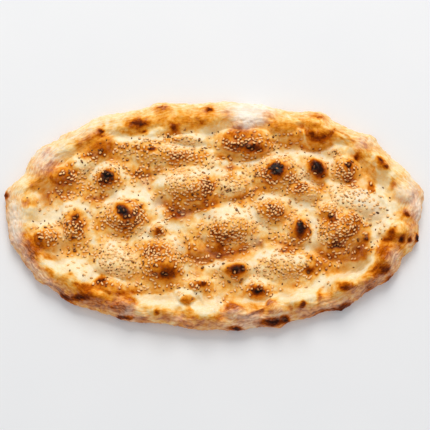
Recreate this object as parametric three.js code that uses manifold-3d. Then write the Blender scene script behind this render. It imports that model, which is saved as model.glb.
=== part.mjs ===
// Turkish pide: a flat oval loaf of leavened wheat dough. The baker presses it all over with the
// fingertips, so that pillows of crumb rise between the hollows, inside a plump rim, and strews it
// with sesame. It is one piece: the seeds are baked onto the crust.
//
// Millimetres and degrees. +Z is up, +X runs along the loaf, and the origin is the middle of the
// flat underside, on which the loaf rests.

import * as THREE from "three";
import { mergeVertices } from "three/addons/utils/BufferGeometryUtils.js";
import Module from "manifold-3d";

// ---- Driving dimensions -------------------------------------------------------------------

const HALF_LENGTH = 169; // the oval, before its edge swells and draws in
const HALF_WIDTH = 93;
const OVAL_POWER = 2.05; // 2 is an ellipse, and more is squarer

const FLOOR_HEIGHT = 9; // dough left under a fingertip's hollow
const RIM_HEIGHT = 16.5; // the plain rim's crest
const RIM_WIDTH = 24; // from the outline to where the rim meets the hollows
const RIM_CREST_SHARE = 0.5; // of the rim's width, from the outline to the crest
const EDGE_HEIGHT = 5.5; // the loaf's widest line, above the table
const EDGE_WAVES = [
  // that line's rise and fall: height, waves round the loaf, start in degrees
  [1.2, 3, 35],
  [0.8, 7, 0],
];
const EDGE_ROUNDING = 16; // how far in the side goes on curving up
const SIDE_POWER = 0.54; // 0.5 is a quarter circle, and more leans the side inwards
const MELT = 6; // how sharply neighbouring pillows meet: higher is a sharper crease
const PILLOW_FALL = 1.95; // a pillow's height falls to exp(-1.95) of itself at its edge
const PILLOW_PUFF = 2.8; // 2 is a bell, and more is a flatter top with steeper flanks
const LIP_PUFF = 8; // the same for the front of a pillow that stands out over a sharp edge
const LEAN = 0.15; // pillows lean to the front, where their flank is that share shorter

// Where the outline leaves the oval: direction from the middle, how far out, spread in degrees.
const EDGE_SWELLS = [
  [11, 4, 7],
  [27, -1.2, 6],
  [42, 4.5, 4.5],
  [60, 6.2, 4],
  [69, -1, 4],
  [84, 1.6, 8],
  [104, 3.7, 4],
  [124, 2.2, 6],
  [146, 1.8, 7],
  [160, -4, 5],
  [170, 4, 5],
  [195, 0.5, 6],
  [216, 2.4, 4],
  [229, 2.8, 5],
  [246, 2, 3],
  [257, -2.4, 4],
  [262, 0.9, 30],
  [275, 1.6, 3],
  [287, 3.4, 2.5],
  [307, 3, 3.5],
  [317, -1.6, 3.5],
  [326, 1.4, 3],
  [336, -4, 4],
  [348, 1.2, 2.5],
  [355, -1.8, 4],
];

// Where the rim is broader than its width elsewhere: direction, how much, spread in degrees.
const RIM_BROADENINGS = [
  [0, 8, 26],
  [100, 5, 45],
  [180, 8, 24],
  [270, 2, 40],
  [332, 4, 14],
];

// Pillows between the hollows: middle x and y, half length, half width, turn, height of the top.
const PILLOWS = [
  // far row, under the far rim
  [-40, 48, 34, 11, -6, 17],
  [-24, 60, 17, 6, 0, 16],
  [-58, 57, 42, 12, 6, 14.5],
  [-108, 40, 22, 12, 30, 14.5],
  [100, 52, 22, 9, -20, 13.5],
  [-50, 66, 34, 8, 6, 15],
  [60, 66, 26, 8, -6, 15.5],
  // second row, from left to right
  [-123, 29, 14, 10, 10, 19],
  [-86, 28, 14, 12, 0, 19],
  [-21, 21, 24, 15, -8, 20],
  [15, 22, 16, 13, 0, 15.5],
  [52, 32, 22, 16, 0, 19.5],
  [84, 35, 12, 11, 0, 19],
  [107, 35, 13, 13, 0, 18.5],
  [74, 17, 16, 8, -8, 16.5],
  [113, 8, 30, 16, -10, 16.5],
  // middle row
  [-135, -22, 15, 12, 0, 20],
  [-113, -12, 11, 19, 12, 18],
  [-72, -4, 21, 17, 0, 20.5],
  [-45, -15, 8, 7, 0, 17],
  [13, -13.5, 21, 16, 6, 21],
  [47, 1, 14, 12, 0, 18.5],
  [69, -16, 12, 14, 0, 18.5],
  [93, 0, 11, 10, 0, 18.5],
  [101, -14, 25, 16, 35, 21],
  // near row
  [-114, -56, 22, 15, -25, 21],
  [-85, -62, 22, 10, -12, 18.5],
  [-78, -41, 21, 16, -12, 17.5],
  [-41, -41, 22, 19, 15, 20.5],
  [17, -46, 14, 10, 0, 19],
  [58, -43, 31, 14, 4, 17],
  [35, -63, 14, 10, 0, 16],
  [-13, -59, 12, 6, 0, 15.5],
  // swells of the far rim, from left to right
  [-118, 53, 20, 11, 32, 15],
  [-92, 54, 20, 13, 25, 17.5],
  [-63, 72, 20, 12, 12, 19],
  [-30, 74, 21, 13, 3, 18.5],
  [-2, 77, 15, 11, 0, 18.5],
  [25, 75, 15, 12, 0, 18.5],
  [118, 52, 15, 12, -30, 17.5],
  // swells of the right end
  [137, 39, 10, 14, 35, 21],
  [155, 14, 11, 14, 0, 20.5],
  [148, -17, 14, 11, 0, 22.5],
  [137, -39, 11, 14, -30, 23],
  // swells of the near rim, from right to left
  [121, -57, 13, 9, 35, 21.5],
  [103, -62, 17, 10, 22, 24],
  [69, -75, 13, 10, 8, 23.5],
  [50, -79, 11, 9, 0, 22.5],
  [16, -81, 14, 8, 0, 20],
  [-6, -85, 15, 10, 0, 22],
  [-41, -81, 17, 8, -3, 21],
  [-69, -76, 13, 8, -10, 21.5],
  [-93, -68, 14, 8, -15, 21],
  // and of the left end
  [-148, 3, 10, 16, 5, 18.5],
];

// Pillows that end in a sharp front edge, in the same terms.
const LIPS = [
  [28, 59, 28, 12.5, 0, 19.5],
  [56, 73, 19, 11, -4, 18],
  [86, 69, 15.5, 13.5, 6, 22.5],
  [-21.5, -69, 8.5, 6, 0, 18],
];

// Where a fingertip went deeper or the crust folded: middle x and y, half sizes, depth.
const HOLLOWS = [
  [-60, 19, 11, 6, 1.5],
  [-45, 8, 3.5, 3.5, 4],
  [-136, 14, 5, 9, 5],
  [-2, -37, 16, 4, 2.5],
  [114, -36, 6, 11, 4],
  [104, -47, 9, 5, 2.5],
  [130, 22, 5, 5, 0.5],
  [72, 54, 21, 4, 3],
  [-124, -29, 5, 7, 3],
  [-29, -1, 11, 3.5, 2],
  [85, -26, 5, 11, 1.5],
  [-91, -59, 6, 6, 1.5],
  [6, -71, 4, 8, 2],
];

// Where pillows meet in a deep crease: half width, depth, the line's points.
const CREASES = [
  [3.5, 4, [-41, 8], [-34, 3], [-25, 1], [-12, 4], [4, 9], [24, 13]],
  [4, 4, [-8, -23], [-5, -30], [4, -34.5], [17, -34], [24, -30], [36, -27]],
  [2.5, 1.5, [36, -25], [48, -24], [61, -29], [69, -34]],
  [4, 3.5, [82, -30], [88, -35], [97, -38], [106, -39], [114, -37], [118, -30], [121, -23]],
  [2.5, 1.5, [-69, 32], [-58, 30], [-43, 33]],
  [3, 2, [-102, 12], [-93, 11], [-83, 13]],
  [2.5, 2.5, [-23, -26], [-20, -34], [-14, -40], [-2, -41]],
  [2.5, 1.5, [-66, -65], [-51, -66], [-34, -64]],
  [2, 1.5, [2, 46], [14, 43], [29, 43], [43, 45], [56, 50]],
  [1.5, 1.2, [42, 58], [56, 58], [69, 58]],
  [2, 2.5, [70, 58], [77, 53], [86, 52], [96, 56]],
  [2.5, 1.5, [-77, -72], [-71, -79]],
  [2, 2, [-57, -68], [-62, -74], [-64, -79], [-62, -85]],
  [2, 1.5, [-27, -77], [-26, -88]],
  [2, 1.5, [8, -71], [6, -88]],
  [2, 1.8, [38, -80], [35, -90]],
  [2.5, 1.5, [80, -67], [84, -76]],
  [2.5, 1.5, [119, -53], [124, -60]],
  [3, 1.5, [-92, -52], [-91, -62], [-95, -70]],
];

// Thin folds that stand up, in the same terms.
const RIDGES = [
  [
    2.2,
    2.5,
    [-28, -70],
    [-28, -66],
    [-25, -63.5],
    [-20, -62.5],
    [-14, -64],
    [-9.5, -69],
    [-6, -74],
    [-2, -78],
  ],
  [2, 1.6, [0, -56], [1.5, -63], [1.5, -71], [-1, -79]],
  [1.6, 1.6, [17, -84], [27, -82], [38, -78], [42.5, -73.5], [46, -70]],
  [1.6, 1.4, [-60, -78], [-54.5, -83.5], [-47, -86.5], [-35, -87], [-25, -87]],
  [
    2.6,
    2.2,
    [129, -21],
    [130, -28],
    [125.5, -35.5],
    [123.5, -42],
    [116, -48.5],
    [105.5, -53.5],
    [95, -55.5],
  ],
  [2, 1.6, [131, 18], [140, 6], [141.5, -6], [136, -12], [128, -20]],
  [
    2.6,
    1.8,
    [95, -55.5],
    [88, -57],
    [83, -61],
    [79, -65.5],
    [71, -70],
    [61.5, -72],
    [51.5, -70.5],
    [45, -68],
  ],
  [1.2, 1, [-59.5, -81], [-51.5, -86], [-43.5, -88.5], [-31.5, -88.5]],
];

const SEED_LENGTH = 3.4; // sesame
const SEED_WIDTH = 2.1;
const SEED_THICKNESS = 1.3;
const SEED_TAPER = 0.35; // a seed is that share wider at its blunt end, and slimmer at its point
const SEED_SUNK = 0.3; // how deep its middle lies under the crust
const SEED_COUNT = 112;
const SEED_SPACING = 8.5;
const SEEDLESS_RIM = 14; // no seed lies nearer the outline,
const FULL_SEEDS_IN = 34; // and they lie thick from here inwards
const HOLLOW_SEEDS = 0.25; // share of the seeds that a hollow gets
const SEED_AROUND = 5; // faces round a seed
const SEED_ALONG = 4; // and along it
const RANDOM_SEED = 20240311;

const GRID_LONG = 76; // cells along the loaf
const GRID_ACROSS = 40;
const GRID_EASING = 0.55; // share by which the cells shrink towards the edge
const UNDERSIDE_RINGS = [
  // inset from the outline, share of the edge's height
  [2.2, 0.3],
  [6.5, 0],
];

const CRUST_COLOUR = 0xdda663;
const CRUST_ROUGHNESS = 0.8;

// ---- The loaf's form ----------------------------------------------------------------------

const radians = THREE.MathUtils.degToRad;
const { smoothstep } = THREE.MathUtils;

// Sum of [direction, amount, spread] bumps in direction t.
function bumps(list, t) {
  const degrees = THREE.MathUtils.radToDeg(t);
  return list.reduce((sum, [at, amount, spread]) => {
    const away = Math.abs(THREE.MathUtils.euclideanModulo(degrees - at + 180, 360) - 180);
    return sum + amount * Math.exp(-((away / spread) ** 2));
  }, 0);
}

// The outline's point in direction t, an angle on the oval.
function edgePoint(t) {
  const [c, s] = [Math.cos(t), Math.sin(t)];
  const r = (Math.abs(c) ** OVAL_POWER + Math.abs(s) ** OVAL_POWER) ** (-1 / OVAL_POWER);
  const onOval = new THREE.Vector2(HALF_LENGTH * r * c, HALF_WIDTH * r * s);
  return onOval.setLength(onOval.length() + bumps(EDGE_SWELLS, t));
}

// A place in the loaf's plan: its direction, and how far it lies inside the outline.
function inPlan(x, y) {
  const t = Math.atan2(y / HALF_WIDTH, x / HALF_LENGTH);
  const edge = edgePoint(t);
  const share = Math.hypot(x, y) / edge.length();
  const outwards = new THREE.Vector2(Math.cos(t) / HALF_LENGTH, Math.sin(t) / HALF_WIDTH).normalize();
  return { t, inside: Math.max(0, 1 - share) * edge.dot(outwards) };
}

// Height of one pillow over the floor at x, y.
function rise(x, y, [midX, midY, halfLength, halfWidth, turn, top], frontPuff) {
  const [c, s] = [Math.cos(radians(turn)), Math.sin(radians(turn))];
  const along = (x - midX) * c + (y - midY) * s;
  const across = (y - midY) * c - (x - midX) * s;
  const flank = halfWidth * (across < 0 ? 1 - LEAN : 1 + LEAN);
  const r = Math.hypot(along / halfLength, across / flank);
  const frontness = Math.max(0, -across / flank / r) ** 2;
  const puff = PILLOW_PUFF + (frontPuff - PILLOW_PUFF) * frontness;
  return (top - FLOOR_HEIGHT) * Math.exp(-PILLOW_FALL * r ** puff);
}

// Height of the plain rim over the floor, from its crest down to the hollows.
function rimRise({ t, inside }) {
  const width = RIM_WIDTH + bumps(RIM_BROADENINGS, t);
  const down = smoothstep(inside, RIM_CREST_SHARE * width, width);
  return (RIM_HEIGHT - FLOOR_HEIGHT) * (1 - down);
}

// Height of the highest of the soft-edged ribbons that run along bent lines.
function ribbons(rows, x, y) {
  const from = new THREE.Vector3(x, y, 0);
  const nearest = new THREE.Vector3();
  const heights = rows.map(([halfWidth, height, ...line]) => {
    const corners = line.map(([cornerX, cornerY]) => new THREE.Vector3(cornerX, cornerY, 0));
    const aways = corners
      .slice(1)
      .map((corner, i) => new THREE.Line3(corners[i], corner))
      .map((stretch) => stretch.closestPointToPoint(from, true, nearest).distanceTo(from));
    return height * Math.exp(-((Math.min(...aways) / halfWidth) ** 2));
  });
  return Math.max(...heights);
}

// All that rises over the floor, melted together, less the hollows and creases.
function riseOver(x, y, place) {
  const rises = [
    rimRise(place),
    ...PILLOWS.map((pillow) => rise(x, y, pillow, PILLOW_PUFF)),
    ...LIPS.map((lip) => rise(x, y, lip, LIP_PUFF)),
  ];
  const melted = rises.reduce((sum, r) => sum + r ** MELT, 0) ** (1 / MELT);
  const folded = melted - ribbons(CREASES, x, y) + ribbons(RIDGES, x, y);
  return HOLLOWS.reduce((height, [midX, midY, halfLength, halfWidth, depth]) => {
    const r = Math.hypot((x - midX) / halfLength, (y - midY) / halfWidth);
    return height - depth * Math.exp(-(r ** 2));
  }, folded);
}

const edgeHeight = (t) =>
  EDGE_WAVES.reduce(
    (height, [size, waves, start]) => height + size * Math.sin(waves * t + radians(start)),
    EDGE_HEIGHT,
  );

// Height of the upper crust.
function crustHeight(x, y) {
  const place = inPlan(x, y);
  const full = FLOOR_HEIGHT + riseOver(x, y, place);
  const curve = 1 - (1 - Math.min(1, place.inside / EDGE_ROUNDING)) ** 2;
  const low = edgeHeight(place.t);
  return low + (full - low) * curve ** SIDE_POWER;
}

// ---- The bread ----------------------------------------------------------------------------

// From -1 to 1, with cells that shrink towards both ends.
function eased(i, count) {
  const t = (2 * i) / count - 1;
  return (1 - GRID_EASING) * t + GRID_EASING * Math.sin((t * Math.PI) / 2);
}

// Lays a square grid over the oval, so that its border becomes the outline.
function gridPlace(u, v) {
  const p = u * Math.sqrt(1 - (v * v) / 2);
  const q = v * Math.sqrt(1 - (u * u) / 2);
  const share = Math.min(1, Math.hypot(p, q));
  return edgePoint(Math.atan2(q, p)).multiplyScalar(share);
}

function breadGeometry() {
  const corners = [];
  const faces = [];
  const gridIndex = (i, j) => j * (GRID_LONG + 1) + i;

  for (let j = 0; j <= GRID_ACROSS; j++)
    for (let i = 0; i <= GRID_LONG; i++) {
      const { x, y } = gridPlace(eased(i, GRID_LONG), eased(j, GRID_ACROSS));
      corners.push(x, y, crustHeight(x, y));
    }

  for (let j = 0; j < GRID_ACROSS; j++)
    for (let i = 0; i < GRID_LONG; i++) {
      const [a, b, c, d] = [
        gridIndex(i, j),
        gridIndex(i + 1, j),
        gridIndex(i + 1, j + 1),
        gridIndex(i, j + 1),
      ];
      const sameSign = (i < GRID_LONG / 2) === (j < GRID_ACROSS / 2);
      faces.push(...(sameSign ? [a, b, c, a, c, d] : [a, b, d, b, c, d]));
    }

  // The grid's border, anticlockwise from above.
  const border = [];
  for (let i = 0; i < GRID_LONG; i++) border.push(gridIndex(i, 0));
  for (let j = 0; j < GRID_ACROSS; j++) border.push(gridIndex(GRID_LONG, j));
  for (let i = GRID_LONG; i > 0; i--) border.push(gridIndex(i, GRID_ACROSS));
  for (let j = GRID_ACROSS; j > 0; j--) border.push(gridIndex(0, j));

  // The underside curves in from the outline to its flat.
  let upper = border;
  for (const [inset, share] of UNDERSIDE_RINGS) {
    const lower = border.map((at) => {
      const [x, y, z] = corners.slice(3 * at, 3 * at + 3);
      const scale = 1 - inset / Math.hypot(x, y);
      corners.push(x * scale, y * scale, z * share);
      return corners.length / 3 - 1;
    });
    upper.forEach((a, k) => {
      const [b, c, d] = [upper[(k + 1) % upper.length], lower[(k + 1) % lower.length], lower[k]];
      faces.push(a, d, c, a, c, b);
    });
    upper = lower;
  }
  const flat = upper.map((at) => new THREE.Vector2(corners[3 * at], corners[3 * at + 1]));
  for (const [a, b, c] of THREE.ShapeUtils.triangulateShape(flat, []))
    faces.push(upper[a], upper[c], upper[b]);

  return new THREE.BufferGeometry()
    .setAttribute("position", new THREE.Float32BufferAttribute(corners, 3))
    .setIndex(faces);
}

// ---- The sesame ---------------------------------------------------------------------------

// Repeatable random numbers from 0 to 1.
function randomSource(seed) {
  let state = seed;
  return () => {
    state = (state * 48271) % 2147483647;
    return state / 2147483647;
  };
}

// Seeds lie thick on the pillows of the middle, thinner in the hollows and hardly on the rim.
function seedChance(x, y) {
  const place = inPlan(x, y);
  const onPillow = Math.min(1, riseOver(x, y, place) / (RIM_HEIGHT - FLOOR_HEIGHT));
  const share = HOLLOW_SEEDS + (1 - HOLLOW_SEEDS) * onPillow;
  return share * smoothstep(place.inside, SEEDLESS_RIM, FULL_SEEDS_IN);
}

function seedPlaces() {
  const random = randomSource(RANDOM_SEED);
  const places = [];
  while (places.length < SEED_COUNT) {
    const [x, y] = [(2 * random() - 1) * HALF_LENGTH, (2 * random() - 1) * HALF_WIDTH];
    const turn = random() * Math.PI;
    const wanted = random() < seedChance(x, y);
    const clear = places.every((other) => Math.hypot(other.x - x, other.y - y) > SEED_SPACING);
    if (wanted && clear) places.push({ x, y, turn });
  }
  return places;
}

// A flat drop: blunt at one end and pointed at the other.
function seedGeometry({ x, y, turn }, crustMesh) {
  const drop = new THREE.SphereGeometry(0.5, SEED_AROUND, SEED_ALONG);
  const at = drop.getAttribute("position");
  for (let i = 0; i < at.count; i++) {
    const towardsPoint = 2 * at.getY(i);
    at.setX(i, at.getX(i) * (1 - SEED_TAPER * towardsPoint));
  }
  const down = new THREE.Raycaster(new THREE.Vector3(x, y, 2 * RIM_HEIGHT), new THREE.Vector3(0, 0, -1));
  const { point, face } = down.intersectObject(crustMesh)[0];
  const upright = new THREE.Vector3(0, 0, 1);
  return drop
    .scale(SEED_WIDTH, SEED_LENGTH, SEED_THICKNESS)
    .rotateZ(turn)
    .applyQuaternion(new THREE.Quaternion().setFromUnitVectors(upright, face.normal))
    .translate(point.x, point.y, point.z)
    .translate(...face.normal.multiplyScalar(-SEED_SUNK).toArray());
}

// ---- One solid ----------------------------------------------------------------------------

const wasm = await Module();
wasm.setup();

function toSolid(geometry) {
  const plain = new THREE.BufferGeometry()
    .setAttribute("position", geometry.getAttribute("position"))
    .setIndex(geometry.index);
  const merged = mergeVertices(plain);
  return new wasm.Manifold(
    new wasm.Mesh({
      numProp: 3,
      vertProperties: new Float32Array(merged.getAttribute("position").array),
      triVerts: new Uint32Array(merged.index.array),
    }),
  );
}

function toGeometry(solid) {
  const mesh = solid.getMesh();
  return new THREE.BufferGeometry()
    .setAttribute("position", new THREE.BufferAttribute(mesh.vertProperties, 3))
    .setIndex(new THREE.BufferAttribute(mesh.triVerts, 1));
}

const bread = breadGeometry();
const breadMesh = new THREE.Mesh(bread);
const seeded = seedPlaces()
  .map((place) => toSolid(seedGeometry(place, breadMesh)))
  .reduce((whole, seed) => whole.add(seed), toSolid(bread));

const crust = new THREE.MeshStandardMaterial({
  color: CRUST_COLOUR,
  roughness: CRUST_ROUGHNESS,
  metalness: 0,
});
const pide = new THREE.Mesh(toGeometry(seeded), crust);
pide.name = "pide";
pide.geometry.computeVertexNormals();

const part = new THREE.Group();
part.add(pide);

export default part;
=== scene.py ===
import itertools
import math

import bpy
import numpy as np
from mathutils import Matrix, Vector
from mathutils.bvhtree import BVHTree
from mathutils.kdtree import KDTree


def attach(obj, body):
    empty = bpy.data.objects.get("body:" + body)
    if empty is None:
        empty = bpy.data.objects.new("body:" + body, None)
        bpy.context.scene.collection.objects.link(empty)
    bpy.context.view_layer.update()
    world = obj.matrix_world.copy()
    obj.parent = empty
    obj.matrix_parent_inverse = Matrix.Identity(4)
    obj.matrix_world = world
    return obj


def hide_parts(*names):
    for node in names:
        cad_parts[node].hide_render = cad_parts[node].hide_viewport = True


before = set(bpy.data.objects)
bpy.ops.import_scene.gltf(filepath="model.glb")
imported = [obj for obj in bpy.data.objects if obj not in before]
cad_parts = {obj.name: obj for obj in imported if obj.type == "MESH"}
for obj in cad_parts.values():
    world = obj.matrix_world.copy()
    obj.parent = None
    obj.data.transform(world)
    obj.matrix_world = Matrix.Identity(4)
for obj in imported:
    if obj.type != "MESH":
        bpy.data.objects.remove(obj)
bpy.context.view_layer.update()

bpy.ops.object.select_all(action="DESELECT")

# Sizes and places are in millimetres and turns in degrees, unless a comment says otherwise.
MM = 0.001


# ---- The loaf ------------------------------------------------------------------------------------
# A flat oval loaf of leavened wheat dough. The baker presses it with the fingertips, so that pillows
# of crumb rise between the hollows inside a plump rim, and slides it onto a floured stone in a very
# hot oven, which browns the tops, scorches a few blisters and leaves flour on the rim's side.

HALF_LENGTH = 169
HALF_WIDTH = 93
OVAL_POWER = 2.05  # 2 is an ellipse, more is squarer
FLOOR_HEIGHT = 9  # of the hollows
RIM_HEIGHT = 16.5
RIM_WIDTH = 24  # from the outline to where the rim meets the hollows
RIM_CREST_SHARE = 0.5  # how far across the rim its crest runs
EDGE_HEIGHT = 5.5  # of the outline over the table
EDGE_WAVES = ((1.2, 3, 35), (0.8, 7, 0))  # height, waves all round, start
EDGE_ROUNDING = 16  # how far in the rim's outer side curves up
SIDE_POWER = 0.54
MELT = 6  # how sharply pillows and rim meet
PILLOW_FALL = 1.95
PILLOW_PUFF = 2.8  # more is flatter on top, with steeper sides
LIP_PUFF = 8
LEAN = 0.15  # by which a pillow's near side is steeper than its far side

# Where the outline leaves the oval: direction, how far out, spread.
EDGE_SWELLS = (
    (11, 4, 7), (27, -1.2, 6), (42, 4.5, 4.5), (60, 6.2, 4), (69, -1, 4), (84, 1.6, 8),
    (104, 3.7, 4), (124, 2.2, 6), (146, 1.8, 7), (160, -4, 5), (170, 4, 5), (195, 0.5, 6),
    (216, 2.4, 4), (229, 2.8, 5), (246, 2, 3), (257, -2.4, 4), (262, 0.9, 30), (275, 1.6, 3), (287, 3.4, 2.5),
    (307, 3, 3.5), (317, -1.6, 3.5), (326, 1.4, 3), (336, -4, 4), (348, 1.2, 2.5), (355, -1.8, 4),
)
RIM_BROADENINGS = ((0, 8, 26), (100, 5, 45), (180, 8, 24), (270, 2, 40), (332, 4, 14))

# Middle x and y, half length, half width, turn, height of the top.
PILLOWS = (
    # far row, under the far rim
    (-40, 48, 34, 11, -6, 17),
    (-24, 60, 17, 6, 0, 16),
    (-58, 57, 42, 12, 6, 14.5),
    (-108, 40, 22, 12, 30, 14.5),
    (100, 52, 22, 9, -20, 13.5),
    (-50, 66, 34, 8, 6, 15),
    (60, 66, 26, 8, -6, 15.5),
    # second row, from left to right
    (-123, 29, 14, 10, 10, 19),
    (-86, 28, 14, 12, 0, 19),
    (-21, 21, 24, 15, -8, 20),
    (15, 22, 16, 13, 0, 15.5),
    (52, 32, 22, 16, 0, 19.5),
    (84, 35, 12, 11, 0, 19),
    (107, 35, 13, 13, 0, 18.5),
    (74, 17, 16, 8, -8, 16.5),
    (113, 8, 30, 16, -10, 16.5),
    # middle row
    (-135, -22, 15, 12, 0, 20),
    (-113, -12, 11, 19, 12, 18),
    (-72, -4, 21, 17, 0, 20.5),
    (-45, -15, 8, 7, 0, 17),
    (13, -13.5, 21, 16, 6, 21),
    (47, 1, 14, 12, 0, 18.5),
    (69, -16, 12, 14, 0, 18.5),
    (93, 0, 11, 10, 0, 18.5),
    (101, -14, 25, 16, 35, 21),
    # near row
    (-114, -56, 22, 15, -25, 21),
    (-85, -62, 22, 10, -12, 18.5),
    (-78, -41, 21, 16, -12, 17.5),
    (-41, -41, 22, 19, 15, 20.5),
    (17, -46, 14, 10, 0, 19),
    (58, -43, 31, 14, 4, 17),
    (35, -63, 14, 10, 0, 16),
    (-13, -59, 12, 6, 0, 15.5),
    # swells of the far rim, from left to right
    (-118, 53, 20, 11, 32, 15),
    (-92, 54, 20, 13, 25, 17.5),
    (-63, 72, 20, 12, 12, 19),
    (-30, 74, 21, 13, 3, 18.5),
    (-2, 77, 15, 11, 0, 18.5),
    (25, 75, 15, 12, 0, 18.5),
    (118, 52, 15, 12, -30, 17.5),
    # swells of the right end
    (137, 39, 10, 14, 35, 21),
    (155, 14, 11, 14, 0, 20.5),
    (148, -17, 14, 11, 0, 22.5),
    (137, -39, 11, 14, -30, 23),
    # swells of the near rim, from right to left
    (121, -57, 13, 9, 35, 21.5),
    (103, -62, 17, 10, 22, 24),
    (69, -75, 13, 10, 8, 23.5),
    (50, -79, 11, 9, 0, 22.5),
    (16, -81, 14, 8, 0, 20),
    (-6, -85, 15, 10, 0, 22),
    (-41, -81, 17, 8, -3, 21),
    (-69, -76, 13, 8, -10, 21.5),
    (-93, -68, 14, 8, -15, 21),
    # and of the left end
    (-148, 3, 10, 16, 5, 18.5),
)
# Pillows that end in a sharp front edge, in the same terms.
LIPS = (
    (28, 59, 28, 12.5, 0, 19.5),
    (56, 73, 19, 11, -4, 18),
    (86, 69, 15.5, 13.5, 6, 22.5),
    (-21.5, -69, 8.5, 6, 0, 18),
)
# Where a fingertip went deeper or the crust folded: middle x and y, half sizes, depth.
HOLLOWS = (
    (-60, 19, 11, 6, 1.5), (-45, 8, 3.5, 3.5, 4), (-136, 14, 5, 9, 5), (-2, -37, 16, 4, 2.5),
    (114, -36, 6, 11, 4), (104, -47, 9, 5, 2.5), (130, 22, 5, 5, 0.5), (72, 54, 21, 4, 3),
    (-124, -29, 5, 7, 3), (-29, -1, 11, 3.5, 2), (85, -26, 5, 11, 1.5), (-91, -59, 6, 6, 1.5),
    (6, -71, 4, 8, 2),
)

# Where pillows meet in a sharp crease: half width, depth, the line's points.
CREASES = (
    (3.5, 4, (-41, 8), (-34, 3), (-25, 1), (-12, 4), (4, 9), (24, 13)),
    (4, 4, (-8, -23), (-5, -30), (4, -34.5), (17, -34), (24, -30), (36, -27)),
    (2.5, 1.5, (36, -25), (48, -24), (61, -29), (69, -34)),
    (4, 3.5, (82, -30), (88, -35), (97, -38), (106, -39), (114, -37), (118, -30), (121, -23)),
    (2.5, 1.5, (-69, 32), (-58, 30), (-43, 33)),
    (3, 2, (-102, 12), (-93, 11), (-83, 13)),
    (2.5, 2.5, (-23, -26), (-20, -34), (-14, -40), (-2, -41)),
    (2.5, 1.5, (-66, -65), (-51, -66), (-34, -64)),
    (2, 1.5, (2, 46), (14, 43), (29, 43), (43, 45), (56, 50)),
    (1.5, 1.2, (42, 58), (56, 58), (69, 58)),
    (2, 2.5, (70, 58), (77, 53), (86, 52), (96, 56)),
    (2.5, 1.5, (-77, -72), (-71, -79)),
    (2, 2, (-57, -68), (-62, -74), (-64, -79), (-62, -85)),
    (2, 1.5, (-27, -77), (-26, -88)),
    (2, 1.5, (8, -71), (6, -88)),
    (2, 1.8, (38, -80), (35, -90)),
    (2.5, 1.5, (80, -67), (84, -76)),
    (2.5, 1.5, (119, -53), (124, -60)),
    (3, 1.5, (-92, -52), (-91, -62), (-95, -70)),
)
# Thin folds that stand up, in the same terms.
RIDGES = (
    (2.2, 2.5, (-28, -70), (-28, -66), (-25, -63.5), (-20, -62.5),
     (-14, -64), (-9.5, -69), (-6, -74), (-2, -78)),
    (2, 1.6, (0, -56), (1.5, -63), (1.5, -71), (-1, -79)),
    (1.6, 1.6, (17, -84), (27, -82), (38, -78), (42.5, -73.5), (46, -70)),
    (1.6, 1.4, (-60, -78), (-54.5, -83.5), (-47, -86.5), (-35, -87), (-25, -87)),
    (2.6, 2.2, (129, -21), (130, -28), (125.5, -35.5), (123.5, -42),
     (116, -48.5), (105.5, -53.5), (95, -55.5)),
    (2, 1.6, (131, 18), (140, 6), (141.5, -6), (136, -12), (128, -20)),
    (2.6, 1.8, (95, -55.5), (88, -57), (83, -61), (79, -65.5),
     (71, -70), (61.5, -72), (51.5, -70.5), (45, -68)),
    (1.2, 1, (-59.5, -81), (-51.5, -86), (-43.5, -88.5), (-31.5, -88.5)),
)


def bumps(rows, degrees):
    """Sum of (direction, amount, spread) bumps."""
    total = np.zeros_like(degrees)
    for at, amount, spread in rows:
        away = np.abs((degrees - at + 180) % 360 - 180)
        total += amount * np.exp(-(away / spread) ** 2)
    return total


def smoothstep(x, low, high):
    t = np.clip((x - low) / (high - low), 0, 1)
    return t * t * (3 - 2 * t)


def outline(angle):
    """The outline's points in those directions, angles on the oval."""
    c, s = np.cos(angle), np.sin(angle)
    r = (np.abs(c) ** OVAL_POWER + np.abs(s) ** OVAL_POWER) ** (-1 / OVAL_POWER)
    x, y = HALF_LENGTH * r * c, HALF_WIDTH * r * s
    plain = np.hypot(x, y)
    reach = (plain + bumps(EDGE_SWELLS, np.degrees(angle))) / plain
    return x * reach, y * reach


def direction(x, y):
    return np.arctan2(y / HALF_WIDTH, x / HALF_LENGTH)


def from_edge(x, y):
    """How far places lie inside the outline."""
    angle = direction(x, y)
    edge_x, edge_y = outline(angle)
    out_x, out_y = np.cos(angle) / HALF_LENGTH, np.sin(angle) / HALF_WIDTH
    depth = (edge_x * out_x + edge_y * out_y) / np.hypot(out_x, out_y)
    return np.maximum(0, 1 - np.hypot(x, y) / np.hypot(edge_x, edge_y)) * depth


def edge_height(angle):
    waves = (size * np.sin(count * angle + math.radians(start)) for size, count, start in EDGE_WAVES)
    return EDGE_HEIGHT + sum(waves)


def turned(x, y, middle_x, middle_y, turn=0):
    """Places along and across a thing that lies turned."""
    c, s = math.cos(math.radians(turn)), math.sin(math.radians(turn))
    return (x - middle_x) * c + (y - middle_y) * s, (y - middle_y) * c - (x - middle_x) * s


def pillow_rise(x, y, row, front_puff):
    middle_x, middle_y, half_length, half_width, turn, top = row
    along, across = turned(x, y, middle_x, middle_y, turn)
    flank = half_width * np.where(across < 0, 1 - LEAN, 1 + LEAN)
    r = np.minimum(np.hypot(along / half_length, across / flank), 9)
    frontness = np.maximum(0, -across / flank / np.maximum(r, 1e-6)) ** 2
    puff = PILLOW_PUFF + (front_puff - PILLOW_PUFF) * frontness
    return (top - FLOOR_HEIGHT) * np.exp(-PILLOW_FALL * r ** puff)


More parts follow.
